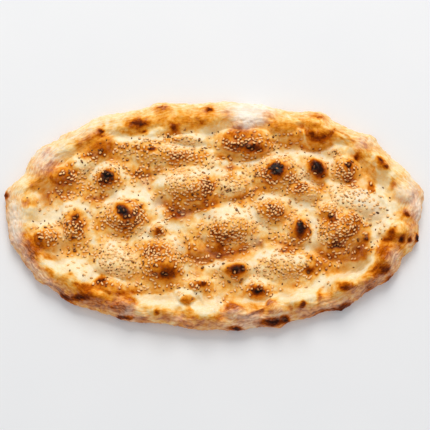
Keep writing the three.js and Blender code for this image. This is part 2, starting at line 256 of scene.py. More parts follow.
def ribbons(x, y, rows):
    """Soft-edged ribbons along bent lines."""
    total = np.zeros_like(x)
    for half_width, amount, *line in rows:
        away = np.full_like(x, 1e6)
        for (ax, ay), (bx, by) in zip(line, line[1:]):
            along = ((x - ax) * (bx - ax) + (y - ay) * (by - ay)) / ((bx - ax) ** 2 + (by - ay) ** 2)
            share = np.clip(along, 0, 1)
            away = np.minimum(away, np.hypot(x - ax - share * (bx - ax), y - ay - share * (by - ay)))
        total = np.maximum(total, amount * np.exp(-(away / half_width) ** 2))
    return total


def rise_over_floor(x, y):
    width = RIM_WIDTH + bumps(RIM_BROADENINGS, np.degrees(direction(x, y)))
    down = smoothstep(from_edge(x, y), RIM_CREST_SHARE * width, width)
    total = ((RIM_HEIGHT - FLOOR_HEIGHT) * (1 - down)) ** MELT
    for row in PILLOWS:
        total += pillow_rise(x, y, row, PILLOW_PUFF) ** MELT
    for row in LIPS:
        total += pillow_rise(x, y, row, LIP_PUFF) ** MELT
    rise = total ** (1 / MELT)
    for middle_x, middle_y, half_length, half_width, depth in HOLLOWS:
        r = np.hypot((x - middle_x) / half_length, (y - middle_y) / half_width)
        rise -= depth * np.exp(-r ** 2)
    return rise - ribbons(x, y, CREASES) + ribbons(x, y, RIDGES)


def crust_height(x, y):
    low = edge_height(direction(x, y))
    curve = 1 - (1 - np.minimum(1, from_edge(x, y) / EDGE_ROUNDING)) ** 2
    return low + (FLOOR_HEIGHT + rise_over_floor(x, y) - low) * curve ** SIDE_POWER


def places(piece):
    flat = np.empty(3 * len(piece.data.vertices))
    piece.data.vertices.foreach_get("co", flat)
    return flat.reshape(-1, 3) / MM


def set_places(piece, points):
    piece.data.vertices.foreach_set("co", (points * MM).ravel())
    piece.data.update()


CELLS_LONG = 380
CELLS_ACROSS = 206
EASING = 0.35  # share by which the cells shrink towards the edge
UNDERSIDE_RINGS = ((0.4, 0.75), (1.4, 0.42), (3, 0.18), (6.5, 0))  # inset, share of edge height

bpy.ops.mesh.primitive_grid_add(x_subdivisions=CELLS_LONG, y_subdivisions=CELLS_ACROSS, size=2)
bread = bpy.context.object
bread.name = "bread"

# The square grid is laid over the oval, with finer cells near the edge.
square = places(bread) * MM
u = (1 - EASING) * square[:, 0] + EASING * np.sin(square[:, 0] * math.pi / 2)
v = (1 - EASING) * square[:, 1] + EASING * np.sin(square[:, 1] * math.pi / 2)
across_u, across_v = u * np.sqrt(1 - v * v / 2), v * np.sqrt(1 - u * u / 2)
share = np.minimum(1, np.hypot(across_u, across_v))
edge_x, edge_y = outline(np.arctan2(across_v, across_u))
x, y = edge_x * share, edge_y * share
set_places(bread, np.stack([x, y, crust_height(x, y)], axis=1))

# The underside curves in from the outline to the flat it rests on.
bpy.ops.object.mode_set(mode="EDIT")
bpy.ops.mesh.select_mode(type="EDGE")
bpy.ops.mesh.select_all(action="DESELECT")
bpy.ops.mesh.select_non_manifold()
for inset, height_share in UNDERSIDE_RINGS:
    bpy.ops.mesh.extrude_edges_indiv()
    bpy.ops.object.mode_set(mode="OBJECT")
    points = places(bread)
    chosen = np.empty(len(points), dtype=bool)
    bread.data.vertices.foreach_get("select", chosen)
    angle = direction(points[chosen, 0], points[chosen, 1])
    edge_x, edge_y = outline(angle)
    shrink = 1 - inset / np.hypot(edge_x, edge_y)
    points[chosen] = np.stack([edge_x * shrink, edge_y * shrink, edge_height(angle) * height_share], axis=1)
    set_places(bread, points)
    bpy.ops.object.mode_set(mode="EDIT")
bpy.ops.mesh.edge_face_add()
bpy.ops.mesh.select_all(action="SELECT")
bpy.ops.mesh.normals_make_consistent(inside=False)
bpy.ops.object.mode_set(mode="OBJECT")
bpy.ops.object.shade_smooth()

slopes = np.random.default_rng(5).standard_normal((4096, 3))
slopes /= np.linalg.norm(slopes, axis=1, keepdims=True)


def noise_at(points, size, seed):
    """Smooth noise from about -1 to 1, whose lumps are that many millimetres across."""
    at = np.asarray(points) / size + seed * 19.37
    cell = np.floor(at).astype(np.int64)
    part = at - cell
    ease = part ** 3 * (part * (part * 6 - 15) + 10)
    total = np.zeros(len(at))
    for corner in itertools.product((0, 1), repeat=3):
        node = cell + corner
        key = (node[:, 0] * 73856093 ^ node[:, 1] * 19349663 ^ node[:, 2] * 83492791) & 4095
        slope = ((part - corner) * slopes[key]).sum(axis=1)
        total += slope * np.where(corner, ease, 1 - ease).prod(axis=1)
    return 1.6 * total


# Patches on the crust lie in groups: how much, and then, for each patch that has that much, its middle
# x and y, its half sizes and, where it lies turned, its turn. From left to right in each group.

# Flour from the oven's floor.
FLOURED = (
    (0.05, (114, -32, 8, 8)),
    (0.08, (-128, 14, 30, 6), (0, -34, 12, 5)),
    (0.15, (69, -80, 8, 4)),
    (0.2, (-15, -49, 4, 4), (10, 36, 5, 10, -40), (87, 38, 4, 4), (120, -61, 12, 5, 33),
     (138, -51, 8, 4, 50)),
    (0.25, (-27, -29, 5, 5), (-24, -2, 5, 6), (53, 39, 12, 3), (159, -16, 6, 13)),
    (0.28, (92, -73, 14, 6, 22)),
    (0.3, (-131, -57, 13, 4, -38), (-128, 43, 5, 5), (-105, 65, 18, 5, 25), (-86, 36, 4, 5),
     (-84, 66, 4, 7), (-62, -82, 10, 6, -30), (-27, -85, 7, 3), (19, 69, 12, 3), (29, 69, 6, 3),
     (33, -24, 5, 5), (47, -86, 12, 3), (118, 54, 5, 5), (132, -1, 5, 8), (158, -27, 4, 6)),
    (0.35, (-142, -42, 8, 12, 45), (-68, -88, 6, 4), (-56, 24, 6, 5), (-45, 7, 4, 6), (9, 84, 8, 6),
     (50, -76, 8, 6), (53, -31, 5, 6), (145, 51, 8, 5, -40)),
    (0.4, (-151, -29, 6, 14, 25), (-77, 7, 5, 6), (18, -41, 10, 5), (21, -92, 18, 3), (27, -84, 13, 5),
     (50, -84, 11, 4), (119, 20, 6, 6), (122, 8, 16, 8, -40), (150, 16, 5, 8)),
    (0.45, (-71, -76, 10, 7)),
    (0.5, (-169, 18, 5, 8), (14, -80, 8, 7), (123, 59, 9, 6, -35), (144, -37, 7, 8, 40)),
    (0.6, (167, -2, 5, 12)),
    (0.7, (-137, 43, 10, 14, -35)),
    (0.8, (160, 12, 10, 16)),
    (0.9, (28, 76, 13, 6)),
    (0.95, (-160, -8, 9, 24)),
    (1.1, (31, 85, 15, 11)),
)
# Browner than the rest, on the pillows and wherever the crust caught the heat. Some patches are
# painted shade, in hollows and under the pillows' fronts.
TOASTED_AND_PAINTED_SHADE = (
    (0.05, (-107, -36, 12, 9, -20), (56, -44, 27, 11, 4)),
    (0.08, (-112, -59, 16, 5, -8), (-20, 17, 22, 12, -4)),
    (0.1, (-119, -14, 3, 9, -20), (-69, -63, 10, 5), (-30, -92, 12, 3), (-16, 77, 11, 8),
     (-11, -88, 8, 3), (38, -67, 10, 4), (84, -73, 9, 5), (84, 54.5, 9, 2.5), (123, -52, 10, 7, 40),
     (133, 30, 6, 8), (142, -24, 10, 10), (160, -5, 4, 18)),
    (0.12, (-148, -33, 8, 14, 35), (-80, 50, 14, 4), (-39, -79, 9, 5), (-38, -47, 14, 11),
     (-29, -30, 10, 6), (-24, -92, 40, 3), (-24, -74, 4, 4), (18, 50, 10, 5), (29, 42, 14, 6),
     (68, -56, 11, 5), (84, -32, 7, 5), (112, -42, 9, 5), (121, -14, 8, 12), (158, -9, 6, 9)),
    (0.15, (-148, -21, 5, 5), (-147, 37, 10, 5, 35), (-146, 24, 7, 6), (-145, -31, 6, 8),
     (-128, 36, 14, 4, 10), (-116, 34, 5, 4), (-110, -8, 6, 7), (-105, 25, 6, 4), (-104, 62, 12, 4, 30),
     (-97, -9, 8, 8), (-92, -13, 12, 4), (-83, 72, 5, 6), (-78, -12, 4, 4), (-76, -60, 8, 3),
     (-74, -20, 16, 3), (-72, 41, 8, 4), (-60, -88, 5, 3), (-59, 12, 5, 4), (-57, -80, 4, 9),
     (-51, -35, 14, 10), (-49, 26, 4, 6), (-41, 36, 30, 4), (-40, -70, 9, 5), (-40, 46, 26, 8, -6),
     (-34, 3, 10, 5), (-24, 8, 19, 6), (-23, -19, 5, 5), (-20, -71, 6, 5), (-14, -76, 6, 5),
     (-9, -38, 12, 4), (-5, 82, 7, 5), (12, 38, 10, 12), (16, -59, 11, 7), (16, 50, 6, 12),
     (21, 77, 4, 5), (22, 59, 12.5, 5), (26, 52, 22, 5), (37, 20, 6, 9), (39, 28, 12, 8), (43, -11, 5, 8),
     (45, -92, 8, 3), (46, 19, 14, 5), (49, -80, 4, 9), (53, -17, 5, 4), (58, -58, 14, 5),
     (74, 17, 13, 6), (84, -81, 8, 3, 10), (85, 49, 10, 3), (86, -42, 6, 5), (86, 69, 13, 8, 5),
     (97, -58, 3, 4), (98, -54, 6, 5), (99, -26, 7, 6), (100, 15, 10, 4), (105, 36, 9, 9),
     (110, 38, 5, 4), (114, -14, 10, 9), (142, -48, 5, 8, -45), (150, -27, 5, 4), (160, 14, 4, 7),
     (163, 9, 3, 9)),
    (0.18, (-66, -4, 15, 13), (-60, 51, 10, 4), (-6, -84, 14, 5), (3, -67, 9, 8), (13, -17, 17, 9),
     (35, -63, 11, 7), (45, -62, 7, 4, 10), (56, 71, 16, 5, -8)),
    (0.2, (-144, -49, 5, 4), (-143, -38, 6, 9, 30), (-140, -33, 6, 6), (-138, -29, 4, 4), (-136, 7, 4, 6),
     (-131, -47, 3, 3), (-128, -48, 5, 4), (-121, 22, 10, 3), (-118, -52, 9, 3, -25), (-112, -29, 6, 5),
     (-112, 18, 6, 4), (-110, -13, 9, 16, 12), (-108, -69, 12, 3, -3), (-105, 47, 4, 4),
     (-104, 46, 12, 3), (-93, 18, 3, 8), (-92, 58, 18, 7, 20), (-84, -57, 6, 3), (-63, -27, 6, 9),
     (-45, 23, 3, 6), (-44, -80, 2.5, 2.5), (-40, 64, 12, 3), (-40, 88, 8, 3), (-32, 72, 7, 6),
     (-29, 48, 8, 4), (-15, -20, 5, 8), (-1, 26, 5, 6), (4, 61, 11, 4), (5, -41, 10, 3), (10, 66, 5, 5),
     (15, 46, 16, 2, 3), (18, -46, 12, 8), (25, -87, 6, 5), (31, -71, 4, 3), (36, 64, 9, 3),
     (41, -41, 10, 7, -40), (42, -76, 5, 6, 30), (45, 4, 5, 4), (47, -20, 6, 6), (50, -26, 8, 4),
     (63, 59, 7, 5), (65, 1, 6, 5), (76, -46, 10, 5), (84, -62, 2.5, 7), (88, -52, 9, 6),
     (92, -37, 10, 8), (92, 22, 4, 4), (101, -19, 21, 12, 38), (105, 50, 4, 5), (113, -2, 12, 7),
     (116, -37, 5, 4), (117, 28, 6, 4), (118, -33, 4, 5), (118, 41, 6, 6), (124, 55, 5, 6),
     (128, -47, 4, 5), (136, -45, 5, 8, -30), (138, -35, 8, 4), (138, -28, 4, 4)),
    (0.22, (-148, 6, 6, 6), (-136, -21, 14, 9), (-92, 53, 4, 3), (-6, 22, 9, 8), (88, -63, 7, 6),
     (122, 57, 4, 6, -30)),
    (0.25, (-135, -63, 5, 5), (-135, 48, 4, 5), (-128, -36, 7, 3), (-126, -61, 10, 4, -20),
     (-116, -58, 13, 5, -25), (-103, -11, 8, 6), (-98, -47, 5, 5), (-96, 18, 4, 9), (-88, -64, 9, 7),
     (-88, 52, 8, 8), (-86, 28, 10, 9), (-84, 45, 10, 5), (-76, -84, 5, 3), (-68, -15, 6, 4),
     (-60, 67, 6, 3), (-40, -88, 8, 3), (-36, -54, 10, 4), (-15, -5, 7, 4), (-11, 72, 5, 5),
     (35.4, 14.3, 6, 6.7), (36.3, 50, 14.7, 4), (50, -89, 12, 3), (61, -74, 5, 5), (69, -80, 7, 5),
     (69, -16, 10, 12), (93, -40, 10, 3), (93, -3, 11, 9), (102.6, -59.9, 5.6, 5.4), (113, -3, 5, 4),
     (116, 45, 5, 6)),
    (0.28, (-150, -26, 6, 13, 20), (-138, -19, 6, 4), (-45, -16, 8, 6), (-14, -58, 10, 4), (4, -24, 8, 8),
     (74, 57, 18, 4)),
    (0.3, (-152, 8, 3, 5), (-125, 16.5, 13.5, 8.2), (-91, 66, 5, 4), (-68, -68, 6, 5), (-63, -55, 9, 4),
     (-35, 0, 10, 3), (-23, 66, 6, 4), (-4, 9.4, 4.8, 7.3), (11, 82, 7, 5), (14.7, 36, 6, 6.3),
     (22, 64, 16, 4), (45, 80.7, 8, 4.4), (47, 2, 12, 9), (52, 33, 14, 11), (84, 35, 10, 11),
     (100, -47, 10, 5), (103, -75, 6, 4, 25), (110, 22.5, 5, 4), (130, -51, 7, 4, 30),
     (135, 41, 5, 8, 30), (154, -3, 6, 5)),
    (0.35, (-136, 13, 4, 7), (-125, -37.5, 12, 4.8), (-124, 29, 15, 11, 10), (-91, -55, 5, 4),
     (-76, -44.7, 7.3, 5.2), (-63, -70, 4, 8), (-63, 74, 12, 7), (-60, 33.5, 9.5, 7), (-55, -87, 7.2, 3),
     (-50.8, -29.8, 11.3, 6), (-20, -77, 8, 4), (-18, 2, 14, 3, 10), (-4, -34, 14, 5.5), (-3, 21.5, 5, 6),
     (-2.6, -65.2, 8, 4.8), (4, 6, 10, 3, 15), (14, -73, 6, 3), (21, 68.2, 15.8, 3.7), (31, -74, 7, 5),
     (58, -65.4, 11.7, 3.1), (68, -74, 4, 5)),
    (0.4, (-98, -39, 5.6, 10.8), (-93, -73.5, 9, 3.5, -3), (-89, 70, 5.8, 4.8), (-61.5, -67, 6.5, 4),
     (-52, 20, 5, 7), (-10.3, 46.6, 6.4, 6.6), (-0.5, 1, 13, 3, 12), (16, -77.5, 9.2, 3.2),
     (59.5, -32.5, 6.5, 3.8), (60, -30, 9.5, 4.3), (77, -14.3, 4.8, 5.3), (80.5, -37, 7, 3.6, -15),
     (89, 22, 4, 7.8), (101.5, -31, 5.5, 4), (120.4, -31, 3.6, 7), (134, -31.5, 4.8, 7.7)),
    (0.45, (-62, 31, 8, 4.2), (-55.3, 5.8, 5, 6.7), (-44, 85, 8.5, 3), (-21.4, -38.9, 5.2, 4.3),
     (8.5, -36.5, 13, 3.1), (127, 31.1, 5.5, 7)),
    (0.5, (-124.5, 13.7, 15, 3.4), (-25.3, -3.3, 11.4, 4.1), (15.5, -71.6, 9.3, 6), (49.3, -68, 7.5, 5.8),
     (85, 79.5, 7.2, 4.1, -10), (114, 24, 10, 3.7, -20), (116.5, 22.5, 11, 3, -10),
     (123.2, -62.6, 8.2, 5.2, 35), (125.5, -23.5, 4.2, 7.7)),
    (0.55, (-94.7, 9, 8.7, 3), (-34.5, -3, 10.7, 4.7), (22.5, -35, 14, 4), (44.2, -23.4, 4.3, 6),
     (97, -44, 13, 5, -5)),
    (0.6, (-119, -37, 10.5, 4.7), (-15, -30.8, 6.5, 5.8), (-11.2, -46.9, 5.8, 5.3), (28, -35.7, 8.5, 3.8),
     (57.5, -29, 6, 4.6), (124.7, -24, 3.8, 4.5)),
    (0.65, (-68.7, 10.3, 6.1, 3.6), (14, 37, 4, 8.2)),
    (0.7, (-0.5, 3.3, 13.3, 4, 12)),
    (0.75, (-100.3, -61.8, 5, 5.1)),
    (0.85, (21.5, 7.7, 6.7, 4.2)),
    (0.9, (-112, -49, 4.6, 4.4)),
    (1, (-74.5, -76.8, 6.6, 4.3)),
    (1.15, (71.6, 21.3, 5.8, 3.8)),
    (1.2, (90.5, -82.2, 11, 4.4, 11)),
    (1.9, (128, 20, 4.1, 4.6)),
)
# Blisters and edges that caught: 1 is black, and 0.5 dark brown.
SCORCHED = (
    (0.35, (-140, -22, 4, 3)),
    (0.4, (-118, -68, 10, 2, -35), (98, -27, 6, 4)),
    (0.5, (5, -28, 4, 4)),
    (0.52, (136, -47, 5, 3.5, 35)),
    (0.55, (-113, -22, 2, 2), (70, -75, 2, 3.5), (80, 63, 3.5, 2.2, -40), (87, 60.5, 7, 3)),
    (0.6, (-9, -59, 3, 2), (101.5, -59.8, 5.5, 4.6), (103, -77, 8, 3, 25), (140, -54, 5, 2, 35)),
    (0.62, (-118, -69, 5, 2.6, -30), (-111, -2, 4.5, 5, 10), (76, -47, 4, 3), (138, -23, 4, 2),
     (150, -23, 2.6, 2.6)),
    (0.65, (-91, 61.5, 1.3, 1), (-88, -54, 3, 3), (-70, -85, 7, 2), (-45, -81, 2, 2), (95, -7, 3, 3),
     (116, 45, 2, 3), (139, 36, 2, 2), (142, -17, 3, 3)),
    (0.66, (-106, -69, 7, 2.4, 3), (-91, -55, 3, 2.5), (-37.5, -48.5, 7, 6)),
    (0.68, (-90.5, 66.5, 2.2, 1.6), (-62, 73, 6, 3.2, 5)),
    (0.7, (-169, 14, 2.5, 3), (-45, -16, 3, 2), (-32, 69, 3, 2.6), (17, -93, 6, 2),
     (32, 52.5, 6.5, 2.3, 4), (154, -3, 2, 2)),
    (0.72, (47, -88, 10, 3)),
    (0.75, (-3, 85, 3, 3), (109, 38, 3, 3, -30), (135, 42, 2, 4, 30)),
    (0.8, (-57, 66, 2, 1.2, 20), (56, -86, 4, 3), (157, -23, 2, 2)),
    (0.85, (-50, 51, 3, 1.8), (35, -64, 5, 4)),
    (0.9, (164, -21, 2, 3)),
    (1, (-86, 28.5, 5, 4.5, 10), (-72.5, 0, 7, 4.4, -50), (18.5, -46, 7.5, 4), (51, 35, 6.5, 5.5),
     (69, -13.5, 4, 6.5), (84, 36, 7.5, 4.5, -52)),
)
# Paler than the rest: dough that the heat hardly reached. Some patches are painted light, on
# slopes that lie in shade.
PALE_AND_PAINTED_LIGHT = (
    (0.1, (-11, -37, 10, 5)),
    (0.12, (-52, -43, 5, 9), (101, 17, 16, 6)),
    (0.15, (-128, -23, 8, 4), (-127, 27, 6, 4), (-125, 46, 8, 3, 20), (-124, -54, 6, 4), (-108, 38, 5, 5),
     (-76, -11, 8, 6), (-72, -40, 5, 3), (-64, 51, 6, 5), (-60, -17, 5, 4), (-60, 50, 14, 5, -8),
     (-42, 18, 8, 6), (-31, 18, 8, 4), (-23, -70, 4, 3), (-19, -59, 8, 4), (-7, -19, 4, 5),
     (65, 35, 12, 7), (74, -43, 8, 4), (74, 14, 7, 4), (84, -73, 8, 4), (92, 60, 14, 3, -10),
     (102, 33, 8, 6), (130, 43, 6, 5), (136, -45, 5, 5)),
    (0.16, (-19, -9, 18, 4), (-9, 35, 16, 4)),
    (0.18, (74, 50, 22, 3)),
    (0.2, (-148, -23, 5, 8), (-120, 50, 9, 4, 30), (-118, 50, 8, 3, 25), (-112, -19, 4, 5),
     (-110, -66, 6, 5), (-108, 1, 25, 4), (-98, 51, 4, 7), (-96, 34, 9, 5), (-86, -46, 9, 4, -20),
     (-86, 38, 10, 2), (-84, -46, 10, 4, -10), (-82, -45, 10, 4, -20), (-80, -41, 12, 6), (-80, 26, 4, 4),
     (-73, -36, 9, 5), (-68, 70, 12, 3, 5), (-60, 77, 12, 4), (-59, 22, 7, 3), (-52, -82, 10, 3, -15),
     (-52, -16, 8, 3), (-49, 52, 5, 7), (-48, -15, 7, 4), (-48, -15, 8, 4), (-48, 46, 6, 4),
     (-40, 68, 5, 4), (-36, -43, 7, 5), (-36, 25, 14, 4), (-33, 29, 10, 4), (-31, 17, 7, 4),
     (-29, -27, 6, 4), (-28, -82, 28, 3, -3), (-28, 54, 8, 5), (-28, 76, 6, 4), (-27, 18, 12, 4),
     (-27, 55, 12, 4), (-26, -31, 5, 5), (-11, -65, 11, 3), (-9, -20, 4, 4), (0, -33, 6, 4),
     (1, -43, 6, 5), (5, -47, 6, 4), (6, 68, 10, 4), (9, -1, 8, 6), (12, 17, 10, 4), (13, 17, 10, 6),
     (13, 22, 12, 4), (14, -15, 8, 5), (15, 18, 6, 4), (17, -42, 10, 4), (18, -43, 7, 5), (21, -47, 8, 3),
     (21, -44, 4, 4), (22, -14, 16, 4, 20), (33, -25, 6, 4), (34, -48, 18, 4, -8), (37, -64, 6, 6, -40),
     (38, -65, 7, 6, -30), (39, 28, 5, 5), (40, -46, 22, 4, 5), (41, -68, 5, 8), (44, -34, 19, 4),
     (44, 28, 5, 7), (45, -46, 30, 8), (48, 66, 8, 4, -30), (49, -54, 28, 3), (49, 39, 8, 3),
     (51, -84, 6, 3), (52, -84, 9, 5), (52, 39, 12, 4), (53, 22, 10, 3), (57, -74, 4, 4), (59, 28, 5, 8),
     (61, -12, 4, 5), (62, -75, 4, 4), (64, -16, 4, 9), (69, 5, 10, 5), (72, -44, 14, 4, 8),
     (72, 14, 10, 6), (74, 30, 6, 5), (77, 13, 8, 5), (80, -74, 10, 3, 8), (82, -24, 9, 3),
     (85, -57, 11, 4, 10), (92, 72, 9, 4), (93, -23, 9, 4), (95, -19, 9, 6, 30), (102, 27, 6, 4),
     (105, -15, 9, 6), (127, 46, 10, 5, -30), (131, 43, 5, 5), (139, 27, 4, 8, -20)),
    (0.22, (-72, 16, 13, 4), (-11, 61, 7, 5), (21, 0, 18, 5)),
    (0.25, (-150, 8, 10, 18), (-148, -5, 5, 5), (-148, -3, 5, 7), (-124, 48, 10, 6), (-112, -55, 10, 5),
     (-86, 70, 5, 6), (-84, 66, 5, 5), (-82, 26, 4, 8), (-80, -48, 14, 4, -20), (-80, -43, 13, 5),
     (-78, -10, 5, 5), (-69, 84, 14, 3, 10), (-68, -45, 16, 9, -10), (-68, 52, 5, 4), (-67, 61, 10, 3),
     (-48, 4, 6, 8), (-48, 62, 7, 5), (-43, -78, 14, 3), (-11, 17, 5, 7), (-7, -19, 5, 5), (-2, 42, 6, 4),
     (13, 16, 8, 5), (33, -25, 6, 4), (38, 28, 6, 6), (45, 1, 6, 7), (49, -36, 12, 3), (50, -37, 16, 4),
     (74, 33, 4, 6), (75, 28, 5, 5), (77, 24, 4, 9), (107, -54, 14, 4, 15), (114, 8, 12, 5),
     (119, 9, 19, 14), (120, 13, 8, 6), (120, 19, 5, 6), (122, -59, 10, 4, 20), (133, -9, 5, 11),
     (138, 25, 5, 8, -20), (138, 30, 6, 8, -30), (140, 1, 10, 4), (146, -19, 5, 5)),
    (0.28, (-59, 17, 10, 7)),
    (0.3, (-148, -19, 8, 8), (-139, -3, 10, 6), (-122, 54, 12, 6, 30), (-119, -17, 5, 8),
     (-115, -60, 6, 4, -10), (-114, -18, 4, 7), (-112, 2, 14, 6), (-106, 44, 6, 4), (-92, -43, 8, 6),
     (-88, -65, 12, 4), (-80, -45, 12, 6, -15), (-76, 10, 6, 4), (-56, -79, 9, 6), (-52, 66, 14, 5),
     (-45, -71, 16, 4), (-40, 48, 9, 6), (-34, 23, 10, 4), (-27, 68, 12, 3), (-19, 5, 7, 4),
     (-19, 66, 5, 5), (-3, 68, 8, 4), (0, 44, 4, 6), (8, 75, 6, 4), (11, 24, 8, 5), (12, -15, 7, 5),
     (25, -43, 7, 6), (38, -44, 16, 7), (53, 20, 6, 4), (60, -69, 18, 3), (62, -78, 12, 5),
     (65, -69, 4, 3), (67, 69, 7, 6), (70, -65, 7, 5), (73, 31, 5, 5), (85, -23, 9, 4), (89, -1, 6, 4),
     (94, -66, 5, 5), (98, -65, 7, 5), (103, -56, 16, 4, 15), (108, 50, 8, 5), (112, 10, 16, 5),
     (112, 53, 12, 5, -35), (120, -46, 10, 4, 40), (125, 10, 14, 6, -30), (129, -38, 4, 6),
     (134, 2, 18, 4), (137, -5, 5, 10), (138, 26, 6, 9, -25), (150, 12, 5, 6), (150, 18, 4, 6),
     (154, -31, 5, 5)),
    (0.34, (-111, -44, 21, 9, -18)),
    (0.35, (-138, -4, 11, 5), (19, -38, 8, 5), (83, -24, 8, 8, 40), (120, 14, 8, 6), (125, -1, 10, 5),
     (125, 3, 12, 8)),
    (0.4, (-152, 20, 6, 20), (-108, 38, 6, 6), (-100, 73, 12, 5, 25), (-76, 9, 5, 3), (-61, -16, 9, 5),
     (-46, -82, 5, 4), (-7, -81, 8, 5), (-5, -83, 4, 4), (7, -2, 12, 5), (12, -2, 13, 5), (65, -74, 5, 4),
     (97, 52, 8, 6), (130, 2, 7, 6), (150, 38, 6, 8, -20)),
    (0.45, (-11, -75, 10, 5)),
    (0.5, (-119, -54, 13, 5, -25), (-80, 72, 8, 9), (26, -72, 8, 6), (29, 86, 16, 9), (112, 6, 18, 6, -8),
     (142, 3, 7, 6)),
    (0.6, (125, 2, 12, 8)),
)
# Painted shade in the deepest hollows: the crust's colour is made darker and duller there.
PAINTED_HOLLOW_SHADE = (
    (0.3, (-124, 8, 6, 5), (-114, -49, 6, 3, -25), (-97, -33, 4, 5), (19, -38, 8, 4), (29, -74, 5, 4),
     (45, 5, 4, 5), (98, -36, 6, 5), (124, 30, 4, 6)),
    (0.4, (-100, 45, 12, 3), (-7, -69, 5, 4), (13, 38, 4, 9), (33, -25, 5, 4), (33, 13, 5, 7),
     (35, -24, 5, 5), (38, -27, 5, 4), (57, -66, 6, 4), (72, 20, 6, 3), (85, -43, 5, 4), (114, -33, 8, 9),
     (127, -24, 3, 6)),
    (0.5, (-100, 9, 10, 3), (-45, 8, 5, 4), (-40, -69, 10, 3), (-34, -3, 9, 4), (-18, 2, 14, 3, 10),
     (0, -34, 8, 5), (61, 52, 6, 3)),
    (0.55, (-27, -30, 4, 7)),
    (0.6, (-128, -37, 8, 4), (-64, -71, 4, 5), (-52, 31, 11, 4), (-7, -1, 8, 4), (60, -29, 6, 4),
     (105, -45, 10, 4), (112, -42, 9, 5)),
    (0.7, (-136, 9, 4, 9), (-29, -4, 10, 4), (116, -37, 5, 8)),
    (0.8, (-14, -41, 10, 4)),
    (0.85, (-4, -34, 13, 5)),
    (0.9, (119, -37, 4, 8, -10)),
    (1, (119, -31, 5, 8, -10)),
)

# The pale skin between the pillows, in ribbons: half width, amount, the line's points.
PALE_FOLDS = (
    # left part
    (2.5, 0.25, (-115, 43), (-101, 38)),
    (2.5, 0.3, (-100, 28), (-96, 35), (-87, 39), (-76, 36), (-70, 29)),
    (4, 0.2, (-136, 23), (-134, 13), (-137, 5)),
    (3, 0.35, (-151, -2), (-140, -9), (-129, -4), (-121, 3), (-109, 6)),
    (2.5, 0.25, (-103, 5), (-100, -7), (-98, -21), (-97, -31)),
    (4, 0.15, (-97, 23), (-92, 12)),
    (3, 0.35, (-85, 9), (-79, 15), (-69, 18), (-59, 17), (-52, 11), (-46, 1), (-39, -11), (-24, -13)),
    (5.5, 0.4, (-139, -38), (-127, -42), (-114, -47), (-100, -52)),
    (4, 0.25, (-81, -28), (-72, -36), (-73, -42)),
    (4, 0.3, (-60, -69), (-47, -70), (-35, -73), (-25, -77)),
    (3, 0.35, (-88, 74), (-87, 67), (-77, 61), (-62, 61), (-49, 65)),
    # middle
    (2.5, 0.3, (-25, 66), (-13, 58), (-2, 52)),
    (2.5, 0.25, (-2, 69), (-13, 59), (-28, 55), (-40, 53)),
    (3, 0.28, (-50, 21), (-44, 26), (-29, 29), (-13, 31), (0, 35), (11, 34), (21, 30)),
    (3, 0.25, (-53, 3), (-45, 6)),
    (4, 0.35, (-13, -2), (0, 1), (13, 5), (26, 3), (35, -2), (42, -12), (46, -23)),
    (3, 0.2, (-64, -23), (-54, -20)),
    (3, 0.28, (-34, -20), (-28, -31), (-26, -42), (-21, -52)),
    (2.5, 0.15, (-13, -44), (0, -43), (10, -42)),
    (2, 0.4, (-28, -69), (-25, -64), (-17, -64), (-11, -69), (-6, -76)),
    (3, 0.45, (-14, -76), (-6, -79), (0, -76), (2, -69)),
    (3, 0.25, (6, -66), (6, -73)),
    # right part
    (3, 0.28, (10, 43), (29, 42), (47, 47), (63, 51), (80, 49), (94, 44)),
    (2.5, 0.3, (35, 10), (44, 14), (55, 13), (64, 9)),
    (3, 0.3, (66, 6), (76, 4), (80, -7), (82, -20), (76, -30)),
    (3.5, 0.33, (33, -35), (46, -34), (59, -36), (70, -40)),
    (3, 0.2, (87, 29), (97, 23), (102, 12)),
    (6, 0.3, (100, 5), (106, 11), (116, 16), (127, 13), (135, 3), (133, -10), (126, -21)),
    (2.5, 0.3, (135, -12), (146, -6), (156, -7)),
    (3, 0.35, (119, -46), (108, -51), (95, -56), (82, -62), (76, -70), (64, -71)),
    (4, 0.2, (92, -41), (104, -44), (113, -41)),
    (2.5, 0.3, (128, 44), (130, 36), (138, 29)),
    (2.5, 0.2, (38, -58), (47, -63), (55, -66)),
)

